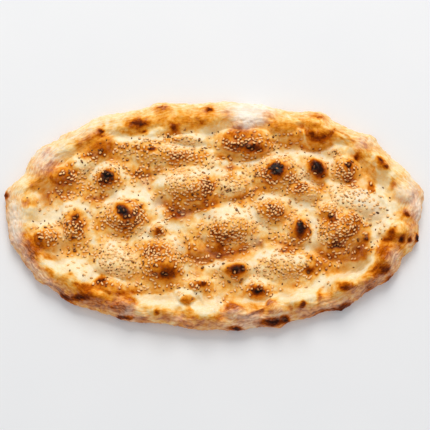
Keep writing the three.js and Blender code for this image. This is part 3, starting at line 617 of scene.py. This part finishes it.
# Small brown marks with crisp borders.
MARKS = (
    (0.1, (130.5, -42, 3, 5), (134, -32.5, 4.5, 6.5)),
    (0.12, (-23.5, 9, 12, 3.5), (41, 21.5, 12, 5), (113, 25, 6, 5)),
    (0.15, (-66, -65, 3.5, 2), (18, 53.5, 12, 3.4), (47.5, 3, 5, 5), (76.5, -48, 6, 2.5, 10),
     (104, -59.5, 6, 5), (108, 34, 8, 4, -20)),
    (0.18, (-20, -69.5, 5.5, 3.2)),
    (0.2, (-62, 72, 8, 4, 5), (-42, -81, 7, 3.5)),
    (0.22, (-5, 21, 4, 4, -30)),
    (0.25, (-119, 26, 5, 3, 30), (-111, -8, 3, 5), (-63, -1.5, 5, 3), (-46, -81, 2.5, 2.5),
     (-11, -58, 8, 2.5), (-7, 85, 2.5, 4), (64.5, 69, 3.5, 3), (115.5, 46, 2, 5), (138.5, -22, 5.5, 1.5),
     (144.5, 22.5, 3, 4)),
    (0.28, (84, -65, 2.5, 5.5), (147.5, 10.5, 4.5, 2, -40)),
    (0.3, (-149, 6.5, 2.3, 4), (-134, 50, 2, 4, -20), (-112, 33, 2, 2), (-91, -54.5, 3.5, 4, -40),
     (-71, -10.5, 3, 3), (-43.5, 87, 5, 1.5, -15), (-32, 69, 4, 3.3), (-29, -2.5, 7, 2.5, 5),
     (14.5, -76, 5, 2.5), (30, -58.5, 2.5, 3), (43.5, -61, 4, 2, 20), (45, -73, 4, 3), (70, -75.5, 3, 5),
     (86, 77.5, 3, 2), (110.5, -63, 2.5, 3.5, 30), (138, 4, 1.5, 1), (143.5, -17, 2.5, 4),
     (145, -1, 3, 1.5, 20), (150.5, -21, 4, 3)),
    (0.35, (-62, 52.5, 3, 1.8)),
    (0.4, (-131, 28, 1.5, 1.5), (-108, -59, 2, 1.5), (-76, -65.5, 2, 1.5), (14.5, 68, 1.8, 1),
     (15.5, -93.5, 4, 1.5), (70, 77, 1.5, 1, -40), (109.5, 39, 2, 2)),
    (0.5, (17, 70.5, 1.7, 1, 20), (29, 69, 1.3, 1), (73.5, 22, 3, 3), (129.5, 19, 2, 4, 20)),
)
# Thin browned lines along folds: half width, amount, the line's points.
BROWN_LINES = (
    (2, 0.16, (71.5, 71.5), (73.5, 63), (78, 56.5), (85.5, 53.5), (92, 55), (98.5, 60.5), (102.5, 65)),
    (2, 0.3, (76, 66), (80.5, 61), (86, 59), (92, 61), (98.5, 67)),
    (1, 0.3, (100, 67), (108, 63), (113.5, 58.5), (117.5, 52)),
    (1, 0.25, (93.5, 65), (102.5, 61.5), (109.5, 56.5)),
    (1.6, 0.25, (1, 50), (9, 45.5), (21, 42.5), (33, 44), (45, 49)),
    (1.2, 0.2, (41, 58), (52, 58.5), (63, 57.5)),
    (1, 0.25, (-43, 66), (-35, 64.5), (-27, 65)),
    (1, 0.2, (-39, 60), (-29, 60)),
    (1.4, 0.25, (-76, 67.5), (-64, 63.5), (-53, 64)),
    (2, 0.15, (134, -24), (135, -31), (130, -38), (128, -45), (120, -52)),
    (1, 0.3, (19, -85), (29, -82.5), (39, -78.5), (45, -71)),
    (2.2, 0.3, (-123.5, -62.5), (-117.5, -68), (-109.5, -69.5), (-101.5, -68), (-97.5, -62.5)),
    (1.5, 0.2, (-137, 15), (-136, 9), (-139, 3)),
    (1.2, 0.25, (126, 25), (129, 20), (132, 14)),
)
# Thin pale lines along the tops of folds, in the same terms.
CREAM_LINES = (
    (0.9, 0.3, (73, 68), (75, 60), (79, 55)),
    (2, 0.2, (128, -24), (130, -28.5), (126.5, -35.5)),
    (2.8, 0.38, (125.5, -38), (123.5, -42), (116, -48.5), (105.5, -53.5), (95, -54.5)),
    (3, 0.35, (87, -50), (84, -57), (79, -64), (71, -69), (61.5, -71.5), (51.5, -69.5), (45, -68)),
    (2.4, 0.25, (43, -31.5), (54, -35), (70, -39)),
    (1.1, 0.35, (-59.5, -81), (-51.5, -86), (-43.5, -88.5), (-31.5, -88.5)),
    (1.5, 0.4, (-27.5, -73.5), (-27.5, -69), (-23.5, -65), (-17.5, -65), (-12, -69), (-8, -74.5)),
    (4, 0.4, (-14, -76), (-6.5, -77), (1, -76)),
    (5.5, 0.4, (-120, -42), (-111, -44.5), (-102, -49)),
    (3.5, 0.35, (-68, 13), (-62, 15.5), (-56, 12)),
    (4.5, 0.35, (2, 0), (12, 2), (24, 0)),
    (1, 0.25, (-43, 62.5), (-27, 62.5)),
    (1.4, 0.3, (-78, 61), (-60, 59.5), (-42, 61)),
    (2, 0.25, (131, 18), (140, 6), (141.5, -6), (136, -13)),
    (3.5, 0.3, (-140, -3), (-130, -4), (-124, -2)),
)

# How sharp the patches' borders are, and how strongly each list tells on the bake.
SOFT = 2.2
POWDERY = 2.4
FIRM = 2.5
CRISP = 3
TOASTED_AND_SHADE_WEIGHT = 0.76
PALE_AND_LIGHT_WEIGHT = 0.44
CREASE_SHADE_WEIGHT = 0.05
BROWN_WEIGHT = 0.6  # of the small marks and the thin lines
CREAM_WEIGHT = 0.88

# Noise in the crust: height or amount, size of its lumps, seed.
LUMPS_AND_GRAIN = ((1.1, 15, 5), (0.8, 6.5, 6), (0.42, 2.8, 7), (0.16, 1.5, 8))
FLECKS = ((0.09, 10, 10), (0.11, 4.5, 14), (0.1, 2.4, 15))
UNDERSIDE_MOTTLE = ((0.25, 25, 11), (0.15, 8, 12))


def patches(x, y, groups, sharpness, join=np.maximum, spread=1):
    """Soft-edged patches, added up or the strongest taken."""
    total = np.zeros_like(x)
    for amount, *spots in groups:
        for middle_x, middle_y, half_length, half_width, *turn in spots:
            along, across = turned(x, y, middle_x, middle_y, *turn)
            r = np.hypot(along / half_length, across / half_width) / spread
            total = join(total, amount * np.exp(-r ** sharpness))
    return total


def layers(points, rows):
    return sum(amount * noise_at(points, size, seed) for amount, size, seed in rows)


points = places(bread)
x, y, z = points.T
inside = from_edge(x, y)
is_top = z > edge_height(direction(x, y)) - 0.01
in_air = smoothstep(z, 0.5, 4)

# Patches have ragged borders, so their places stray a little, and less so for burns and marks.
WANDER = 2.2
RAGGEDNESS = 0.8
wander_x = WANDER * noise_at(points, 7, 1)
wander_y = WANDER * noise_at(points, 7, 2)
ragged_x = x + wander_x + RAGGEDNESS * noise_at(points, 2.5, 3)
ragged_y = y + wander_y + RAGGEDNESS * noise_at(points, 2.5, 4)
steady_x = 0.6 * x + 0.4 * ragged_x
steady_y = 0.6 * y + 0.4 * ragged_y

# A burn reaches a little past the blister that caught. The pillows brown more than the hollows.
scorch = patches(steady_x, steady_y, SCORCHED, FIRM, spread=1.23)
rise = rise_over_floor(x, y)
toast = TOASTED_AND_SHADE_WEIGHT * patches(ragged_x, ragged_y, TOASTED_AND_PAINTED_SHADE, SOFT, np.add)
toast *= 0.45 + 0.55 * smoothstep(rise, 1.5, 6)

# Flour lies in patches, on the near rim's side and along the far rim, and a thin dusting everywhere.
# It shows less where the crust is brown, and hardly where it is burnt.
flour = 0.07 + patches(ragged_x, ragged_y, FLOURED, POWDERY, np.add)
flour += 0.3 * (1 - smoothstep(inside + wander_x, 4, 12)) * smoothstep(-y, 15, 55)
flour += 0.35 * (1 - smoothstep(inside + wander_x, 0, 16)) * smoothstep(y, 0, 40)
flour = np.clip(flour, 0, 1.1)
flour *= 1 - 0.9 * smoothstep(scorch, 0.1, 0.5)
flour *= 1 - 0.6 * smoothstep(toast, 0.15, 0.45)

# Part of the paling is painted light, on slopes that lie in shade.
toast -= PALE_AND_LIGHT_WEIGHT * patches(ragged_x, ragged_y, PALE_AND_PAINTED_LIGHT, SOFT, np.add)
come_and_go = np.clip(0.8 + 0.8 * noise_at(points, 9, 16), 0.1, 1.4)
toast -= come_and_go * ribbons(ragged_x, ragged_y, PALE_FOLDS)
# Painted shade: the crust browns a little along the creases.
toast += CREASE_SHADE_WEIGHT * ribbons(ragged_x, ragged_y, CREASES)
toast += BROWN_WEIGHT * patches(steady_x, steady_y, MARKS, CRISP)
toast += BROWN_WEIGHT * ribbons(steady_x, steady_y, BROWN_LINES)
toast -= CREAM_WEIGHT * ribbons(steady_x, steady_y, CREAM_LINES)

# Creases run along the rim, deepest where flour dried the skin.
EDGE_PER_RADIAN = 130
rim_share = 1 - smoothstep(inside, 16, 30)
along_edge = direction(x, y) * EDGE_PER_RADIAN
crease_places = np.stack([along_edge + 5 * wander_x, 7 * (inside + 0.7 * wander_y), 0 * x], axis=1)
creases = 1 - 1.6 * np.abs(noise_at(crease_places, 15, 13))
crease_relief = (creases - 0.6) * rim_share * (0.25 + 0.85 * flour)

# Small blisters stand up highest on the burns.
blisters = np.maximum(0, noise_at(points, 4.2, 9) - 0.22) * 2.6
blister_relief = blisters * (0.3 + 0.7 * smoothstep(scorch, 0.3, 0.9)) * (1 - 0.6 * flour)
relief = (layers(points, LUMPS_AND_GRAIN) + blister_relief + crease_relief) * in_air

flat = np.empty(3 * len(points))
bread.data.vertices.foreach_get("normal", flat)
normals = flat.reshape(-1, 3)
set_places(bread, points + normals * relief[:, None])


def keep_on_surface(piece, name, values):
    layer = piece.data.attributes.new(name, "FLOAT", "POINT")
    layer.data.foreach_set("value", np.asarray(values, dtype=np.float32))


# Painted shade in the hollows and at the pillows' feet, darker and duller, but not on the rim, which
# is broader on the far side.
FOOT = 8  # a place lies in a hollow as far as those at this distance round it are higher
ring = np.arange(0, 2 * math.pi, math.pi / 3)
around = [rise_over_floor(x + FOOT * math.cos(t), y + FOOT * math.sin(t)) for t in ring]
hollow = np.mean(around, axis=0) - rise
damp = 0.12 * smoothstep(hollow, 0.2, 2.5) + patches(ragged_x, ragged_y, PAINTED_HOLLOW_SHADE, SOFT, np.add)
rim_end = 12 + 14 * (y > 0)
keep_on_surface(bread, "damp", np.clip(damp, 0, 1) * smoothstep(inside, rim_end, rim_end + 8))

# The bake runs from 0, raw-looking dough, through golden and brown to 1, black. Tops brown; slopes
# facing away from the window light are painted browner as shade and slopes facing it paler as painted
# highlight. Only a burn goes past the darkest brown.
PLAIN_BAKE = 0.26
DARKEST_BROWN = 0.66
facing_away_from_light = -normals[:, 1]
bake = PLAIN_BAKE + 0.12 * smoothstep(rise, 1, 7) + toast + layers(points, FLECKS) - 0.2 * flour
bake += 0.24 * np.clip(facing_away_from_light, -0.7, 0.3) * (0.3 + 0.7 * smoothstep(z, 3, 9))
# On the far side, slopes facing away from the light are painted paler: painted light in their shade.
bake -= 0.15 * np.clip(facing_away_from_light - 0.1, 0, 0.5) * smoothstep(y, 10, 50)
# Slopes facing away from the light never get the palest dough: painted warm shade.
bake = np.clip(bake, 0.05 + 0.25 * np.clip(facing_away_from_light, 0, 0.5), DARKEST_BROWN)
bake -= 0.28 * np.maximum(0, bake - 0.4)
bake = 1 - (1 - bake) * (1 - 0.85 * scorch ** 1.4)
bottom_bake = 0.5 + layers(points, UNDERSIDE_MOTTLE)
bake = np.where(is_top, bake, bake + (bottom_bake - bake) * (1 - in_air))
keep_on_surface(bread, "bake", bake)
keep_on_surface(bread, "flour", flour)
keep_on_surface(bread, "rim", rim_share * (0.3 + 0.7 * np.minimum(1, 1.5 * flour)))
streak_places = np.stack([along_edge + 3 * wander_x, 5 * (inside + 0.7 * wander_y), z], axis=1)
layer = bread.data.attributes.new("streaks", "FLOAT_VECTOR", "POINT")
layer.data.foreach_set("vector", (streak_places * MM).astype(np.float32).ravel())


class Wire:
    """An output socket. Sums on wires add Math nodes to the material being made."""

    tree = None

    def __init__(self, socket):
        self.socket = socket

    @classmethod
    def node(cls, kind, settings=None, inputs=None, output=0):
        made = cls.tree.nodes.new(kind)
        for name, value in (settings or {}).items():
            if name == "stops":
                ramp = made.color_ramp
                while len(ramp.elements) < len(value):
                    ramp.elements.new(0.5)
                for element, (position, colour) in zip(ramp.elements, value):
                    element.position = position
                    element.color = colour
            else:
                setattr(made, name, value)
        for name, value in (inputs or {}).items():
            if isinstance(value, Wire):
                cls.tree.links.new(value.socket, made.inputs[name])
            else:
                made.inputs[name].default_value = value
        return cls(made.outputs[output])

    @classmethod
    def math(cls, operation, *values, clamp=False):
        settings = {"operation": operation, "use_clamp": clamp}
        return cls.node("ShaderNodeMath", settings, dict(enumerate(values)))

    def __add__(self, other):
        return self.math("ADD", self, other)

    __radd__ = __add__

    def __sub__(self, other):
        return self.math("SUBTRACT", self, other)

    def __rsub__(self, other):
        return self.math("SUBTRACT", other, self)

    def __mul__(self, other):
        return self.math("MULTIPLY", self, other)

    __rmul__ = __mul__

    def clamped(self):
        return self.math("ADD", self, 0.0, clamp=True)


def paint(red, green, blue):
    """A colour as seen on a screen, 0 to 255, in the shader's own terms."""
    return tuple(
        c / 12.92 if c <= 0.04045 else ((c + 0.055) / 1.055) ** 2.4
        for c in (red / 255, green / 255, blue / 255)
    ) + (1.0,)


def mix(factor, a, b, blend="MIX"):
    settings = {"data_type": "RGBA", "blend_type": blend}
    return Wire.node("ShaderNodeMix", settings, {0: factor, 6: a, 7: b}, output=2)


def speckle(place, size, detail=2.0, roughness=0.5):
    """Noise from about -1 to 1, whose lumps are that many millimetres across."""
    inputs = {"Vector": place, "Scale": 1 / (size * MM), "Detail": detail, "Roughness": roughness}
    return (Wire.node("ShaderNodeTexNoise", None, inputs) - 0.5) * 2.6


def on_surface(name):
    return Wire.node("ShaderNodeAttribute", {"attribute_name": name}, output=2)


def new_material(name):
    material = bpy.data.materials.new(name)
    material.use_nodes = True
    Wire.tree = material.node_tree
    Wire.tree.nodes.clear()
    return material


def finish_material(inputs):
    surface = Wire.node("ShaderNodeBsdfPrincipled", None, inputs)
    end = Wire.tree.nodes.new("ShaderNodeOutputMaterial")
    Wire.tree.links.new(surface.socket, end.inputs["Surface"])


crust = new_material("baked_crust")
place = Wire.node("ShaderNodeTexCoord", output=3)
mottle = 0.07 * speckle(place, 5) + 0.07 * speckle(place, 1.6, 3.0) + 0.05 * speckle(place, 0.6)
streaks = Wire.node("ShaderNodeAttribute", {"attribute_name": "streaks"}, output=1)
lines = (1.0 - 3.0 * Wire.math("ABSOLUTE", speckle(streaks, 11, 2.0, 0.6))).clamped() * on_surface("rim")
# The crust's colour follows its bake and painted shading, the painted shadow round each seed and the rim's
# streaks.
shaded_bake_degree = (on_surface("bake") + 0.28 * on_surface("beside_seed") + mottle + 0.19 * lines).clamped()
baked_and_shaded = Wire.node(
    "ShaderNodeValToRGB",
    {
        "stops": (
            (0.0, paint(255, 243, 213)),
            (0.16, paint(255, 223, 162)),
            (0.32, paint(252, 191, 98)),
            (0.46, paint(237, 149, 36)),
            (0.6, paint(192, 93, 0)),
            (0.72, paint(122, 46, 0)),
            (0.84, paint(48, 13, 1)),
            (1.0, paint(8, 2, 1)),
        )
    },
    {"Fac": shaded_bake_degree},
)
# Painted shade: the colour is multiplied darker and duller in the hollows.
baked_and_shaded = mix(on_surface("damp"), baked_and_shaded, paint(206, 180, 136), "MULTIPLY")
dusting = (on_surface("flour") + 0.22 * speckle(place, 3.5) - 0.06 - 0.2 * lines).clamped()
flour_colour = mix(dusting, paint(240, 208, 172), paint(250, 238, 226))
floured = mix(dusting * 0.85, baked_and_shaded, flour_colour)
pores = 0.6 * speckle(place, 1.1, 3.0) + 0.5 * speckle(place, 2.4)
bump = Wire.node("ShaderNodeBump", None, {"Strength": 0.35, "Distance": 0.4 * MM, "Height": pores})
finish_material({
    "Base Color": floured,
    "Roughness": 0.55 + 0.3 * dusting,
    "Specular IOR Level": 0.04,
    "Coat Weight": (2.5 * shaded_bake_degree - 1.7).clamped() * 0.18,
    "Coat Roughness": 0.3,
    "Normal": bump,
})
bread.data.materials.append(crust)

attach(bread, "root")
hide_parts("pide")


# ---- Sesame --------------------------------------------------------------------------------------
# Hulled sesame, strewn on the wet dough before baking and toasted on it. The seeds lie thick on the
# pillows, thinner in the hollows and hardly on the rim.

draw = np.random.default_rng(41)
crust_tree = BVHTree.FromObject(bread, bpy.context.evaluated_depsgraph_get())


def seed_shape(name, length, width, thickness, taper, around, along):
    """One seed's corners and faces: a flat drop, blunt at one end."""
    bpy.ops.mesh.primitive_uv_sphere_add(segments=around, ring_count=along, radius=0.5)
    drop = bpy.context.object
    drop.name = name
    bpy.ops.object.mode_set(mode="EDIT")
    bpy.ops.transform.rotate(value=math.pi / 2, orient_axis="X", center_override=(0, 0, 0))
    bpy.ops.object.mode_set(mode="OBJECT")
    corners = np.array([v.co for v in drop.data.vertices])
    faces = [tuple(face.vertices) for face in drop.data.polygons]
    corners[:, 0] *= 1 - 2 * taper * corners[:, 1]
    bpy.data.objects.remove(drop)
    return corners * (width, length, thickness), faces


def scatter(thrown, spacing, chance, sunk, tilt):
    """Places and turns of the seeds that stay on the crust, no two nearer than the spacing."""
    try_x = draw.uniform(-HALF_LENGTH, HALF_LENGTH, thrown)
    try_y = draw.uniform(-HALF_WIDTH, HALF_WIDTH, thrown)
    wanted = draw.random(thrown) < chance(try_x, try_y)
    found = []
    cells = {}
    for x, y in zip(try_x[wanted], try_y[wanted]):
        cell = int(x // spacing), int(y // spacing)
        near = [
            other
            for i in (-1, 0, 1)
            for j in (-1, 0, 1)
            for other in cells.get((cell[0] + i, cell[1] + j), [])
        ]
        if any(math.hypot(x - a, y - b) < spacing for a, b in near):
            continue
        cells.setdefault(cell, []).append((x, y))
        point, normal, _, _ = crust_tree.ray_cast(Vector((x * MM, y * MM, 0.1)), Vector((0, 0, -1)))
        stand = normal.to_track_quat("Z", "Y").to_matrix()
        spin = Matrix.Rotation(draw.normal(math.pi / 2, 0.8) + math.pi * draw.integers(2), 3, "Z")
        lean = Matrix.Rotation(draw.normal(0, tilt), 3, "X") @ Matrix.Rotation(draw.normal(0, tilt), 3, "Y")
        found.append((point / MM - normal * sunk, stand @ lean @ spin))
    return found


def seed_piece(name, shape, found, size_spread):
    """All the seeds of one kind as one mesh."""
    corners, faces = shape
    sizes = 1 + size_spread * draw.standard_normal((len(found), 3)).clip(-2, 2)
    offsets = np.concatenate([(corners * size) @ np.array(turn).T for (_, turn), size in zip(found, sizes)])
    all_corners = offsets + np.repeat([middle for middle, _ in found], len(corners), axis=0)
    all_faces = [tuple(i + n * len(corners) for i in face) for n in range(len(found)) for face in faces]
    mesh = bpy.data.meshes.new(name)
    mesh.from_pydata((all_corners * MM).tolist(), [], all_faces)
    piece = bpy.data.objects.new(name, mesh)
    bpy.context.collection.objects.link(piece)
    bpy.ops.object.select_all(action="DESELECT")
    piece.select_set(True)
    bpy.context.view_layer.objects.active = piece
    bpy.ops.object.shade_smooth()
    return piece, offsets


# Where hardly any seed fell, in the terms of the other patches.
SEEDLESS = (
    (0.5, (-105, 42, 14, 8), (-2, -35, 12, 4)),
    (0.6, (-10, -68, 40, 8), (50, 34, 10, 8), (70, 52, 24, 4), (125, 2, 12, 8)),
    (0.7, (-62, 17, 12, 6)),
    (0.8, (-142, -28, 8, 8), (-122, 28, 12, 8), (-112, -3, 8, 7), (-22, -3, 9, 4), (60, -68, 20, 5, 5),
     (118, -34, 5, 10), (126, 27, 10, 9)),
    (0.85, (-88, 51, 16, 9), (22, 62, 27, 9), (83, 34, 10, 8)),
    (0.9, (-141, 4, 12, 15), (-40, -50, 8, 7), (96, -49, 18, 6, 10)),
    (1, (-110, -47, 19, 8, -15)),
)


def sesame_chance(x, y):
    on_pillow = smoothstep(rise_over_floor(x, y), 1, 7)
    bare = patches(x, y, SEEDLESS, CRISP) + 0.9 * patches(x, y, PALE_AND_PAINTED_LIGHT, SOFT)
    bare += 1.6 * ribbons(x, y, PALE_FOLDS) + 1.6 * ribbons(x, y, CREAM_LINES)
    burnt = patches(x, y, SCORCHED, CRISP, spread=1.6)
    unburnt = 1 - 0.92 * smoothstep(burnt, 0.15, 0.5)
    clumps = np.clip(1 + 0.9 * noise_at(np.stack([x, y, 0 * x], 1), 9, 5), 0.4, 1.6)
    strewn = (0.13 + 0.87 * on_pillow) * clumps * np.clip(1 - bare, 0.15, 1) * unburnt
    rim_free = smoothstep(from_edge(x, y), 19 + 4 * (y > 0), 33 + 4 * (y > 0))
    return strewn * rim_free


SESAME_THROWN = 42000
SESAME_SPACING = 1.9
SESAME_SIZE = 3.2, 1.95, 1.25
SESAME_TAPER = 0.26
SEED_REACH = 2.6  # how far from a seed its painted shadow reaches

sesame_places = scatter(SESAME_THROWN, SESAME_SPACING, sesame_chance, 0.05, 0.22)
sesame_shape = seed_shape("one_sesame", *SESAME_SIZE, SESAME_TAPER, 8, 6)
sesame, offsets = seed_piece("sesame", sesame_shape, sesame_places, 0.1)

crust_points = places(bread)
crust_index = KDTree(len(crust_points))
for i, point in enumerate(crust_points):
    crust_index.insert(point, i)
crust_index.balance()

# Each seed has its own toasting, a few are much darker, and those by a burn or on brown crust follow
# it. A seed is browner at its edge, partly toasting and partly painted shade where it meets the
# crust, and its near side is painted dark as shade.
sesame_x, sesame_y, _ = np.array([middle for middle, _ in sesame_places]).T
each_toast = np.clip(0.1 + 0.15 * draw.standard_normal(len(sesame_places)), 0, 1)
each_toast += np.where(draw.random(len(sesame_places)) < 0.08, 0.5, 0)
each_toast += 0.6 * smoothstep(patches(sesame_x, sesame_y, SCORCHED, CRISP), 0.1, 0.7)
under_seed = [crust_index.find(middle)[1] for middle, _ in sesame_places]
each_toast += 0.16 * smoothstep(bake[under_seed], 0.3, 0.7)
corners = sesame_shape[0]
edge_toast_and_shade = 0.2 * smoothstep(np.hypot(corners[:, 0], corners[:, 1] / (SESAME_SIZE[0] / 2)), 0.6, 0.95)
near_side_shade = 0.8 * smoothstep(-offsets[:, 1] - 0.4 * offsets[:, 2], 0.42, 0.95)
keep_on_surface(sesame, "toast", (each_toast[:, None] + edge_toast_and_shade[None]).ravel() + near_side_shade)

# Painted shadow: the crust is browned darker round each seed, most on its near side, where the seed's shadow
# falls.
seed_shadow = np.zeros(len(crust_points))
for middle, _ in sesame_places:
    for _, i, away in crust_index.find_range(middle - Vector((0, 0.5, 0)), SEED_REACH):
        seed_shadow[i] = max(seed_shadow[i], math.exp(-(away / 1.5) ** 2))
keep_on_surface(bread, "beside_seed", seed_shadow * (0.4 + 1.1 * bake))

seed_skin = new_material("toasted_sesame")
place = Wire.node("ShaderNodeTexCoord", output=3)
toasted = Wire.node(
    "ShaderNodeValToRGB",
    {
        "stops": (
            (0.0, paint(255, 213, 152)),
            (0.4, paint(246, 185, 116)),
            (0.7, paint(178, 112, 54)),
            (1.0, paint(84, 44, 14)),
        )
    },
    {"Fac": (on_surface("toast") + 0.12 * speckle(place, 1.2)).clamped()},
)
finish_material({"Base Color": toasted, "Roughness": 0.35, "Specular IOR Level": 0.25})
sesame.data.materials.append(seed_skin)
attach(sesame, "root")


# ---- Nigella -------------------------------------------------------------------------------------
# Nigella seed, strewn sparsely with the sesame. The seeds are smaller and darker, and lie mostly in
# the hollows, where the sesame is thin.

def nigella_chance(x, y):
    unburnt = 1 - smoothstep(patches(x, y, SCORCHED, CRISP), 0.3, 0.7)
    in_hollow = 1 - smoothstep(rise_over_floor(x, y), 2, 8)
    return smoothstep(from_edge(x, y), 16, 26) * unburnt * (0.45 + 0.55 * in_hollow)


NIGELLA_THROWN = 640
NIGELLA_SPACING = 3.0
NIGELLA_SIZE = 2.3, 1.3, 1.0
NIGELLA_TAPER = 0.2

nigella_places = scatter(NIGELLA_THROWN, NIGELLA_SPACING, nigella_chance, 0.1, 0.3)
nigella_shape = seed_shape("one_nigella", *NIGELLA_SIZE, NIGELLA_TAPER, 6, 5)
nigella, _ = seed_piece("nigella", nigella_shape, nigella_places, 0.12)
dark_skin = new_material("nigella_skin")
place = Wire.node("ShaderNodeTexCoord", output=3)
seed_colour = mix((0.5 + 0.4 * speckle(place, 3)).clamped(), paint(84, 46, 20), paint(140, 82, 38))
finish_material({"Base Color": seed_colour, "Roughness": 0.5, "Specular IOR Level": 0.15})
nigella.data.materials.append(dark_skin)
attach(nigella, "root")


# ---- Table, lights and camera --------------------------------------------------------------------
# A plain white table top under soft daylight from behind, with the camera nearly overhead.

bpy.ops.mesh.primitive_plane_add(size=6)
table_top = bpy.context.object
table_top.name = "table_top"
white = new_material("white_table")
place = Wire.node("ShaderNodeTexCoord", output=3)
finish_material({
    "Base Color": mix((0.5 + 0.5 * speckle(place, 90)).clamped(), paint(240, 241, 243), paint(244, 244, 245)),
    "Roughness": 0.9,
})
table_top.data.materials.append(white)

world = bpy.data.worlds.new("studio")
bpy.context.scene.world = world
world.use_nodes = True
world.node_tree.nodes["Background"].inputs["Color"].default_value = (0.97, 0.985, 1.0, 1.0)
world.node_tree.nodes["Background"].inputs["Strength"].default_value = 0.575


def soft_light(name, place, size, power, colour):
    bpy.ops.object.light_add(type="AREA", location=place)
    light = bpy.context.object
    light.name = name
    light.data.size = size
    light.data.energy = power
    light.data.color = colour
    light.rotation_euler = (-Vector(place)).to_track_quat("-Z", "Y").to_euler()


soft_light("window", (0.06, 1.85, 1.7), 1.2, 39.5, (1.0, 0.98, 0.95))

ELEVATION = 80
DISTANCE = 0.735
FRAME_WIDTH = 0.3526
AIM = Vector((0.001, -0.0002, 0))
bpy.ops.object.camera_add()
camera = bpy.context.object
camera.data.sensor_width = 36
camera.data.lens = 36 * DISTANCE / FRAME_WIDTH
back = Vector((0, -math.cos(math.radians(ELEVATION)), math.sin(math.radians(ELEVATION))))
camera.location = AIM + back * DISTANCE
camera.rotation_euler = (-back).to_track_quat("-Z", "Y").to_euler()
camera.data.clip_start = 0.01
bpy.context.scene.camera = camera
bpy.context.scene.view_settings.view_transform = "Standard"
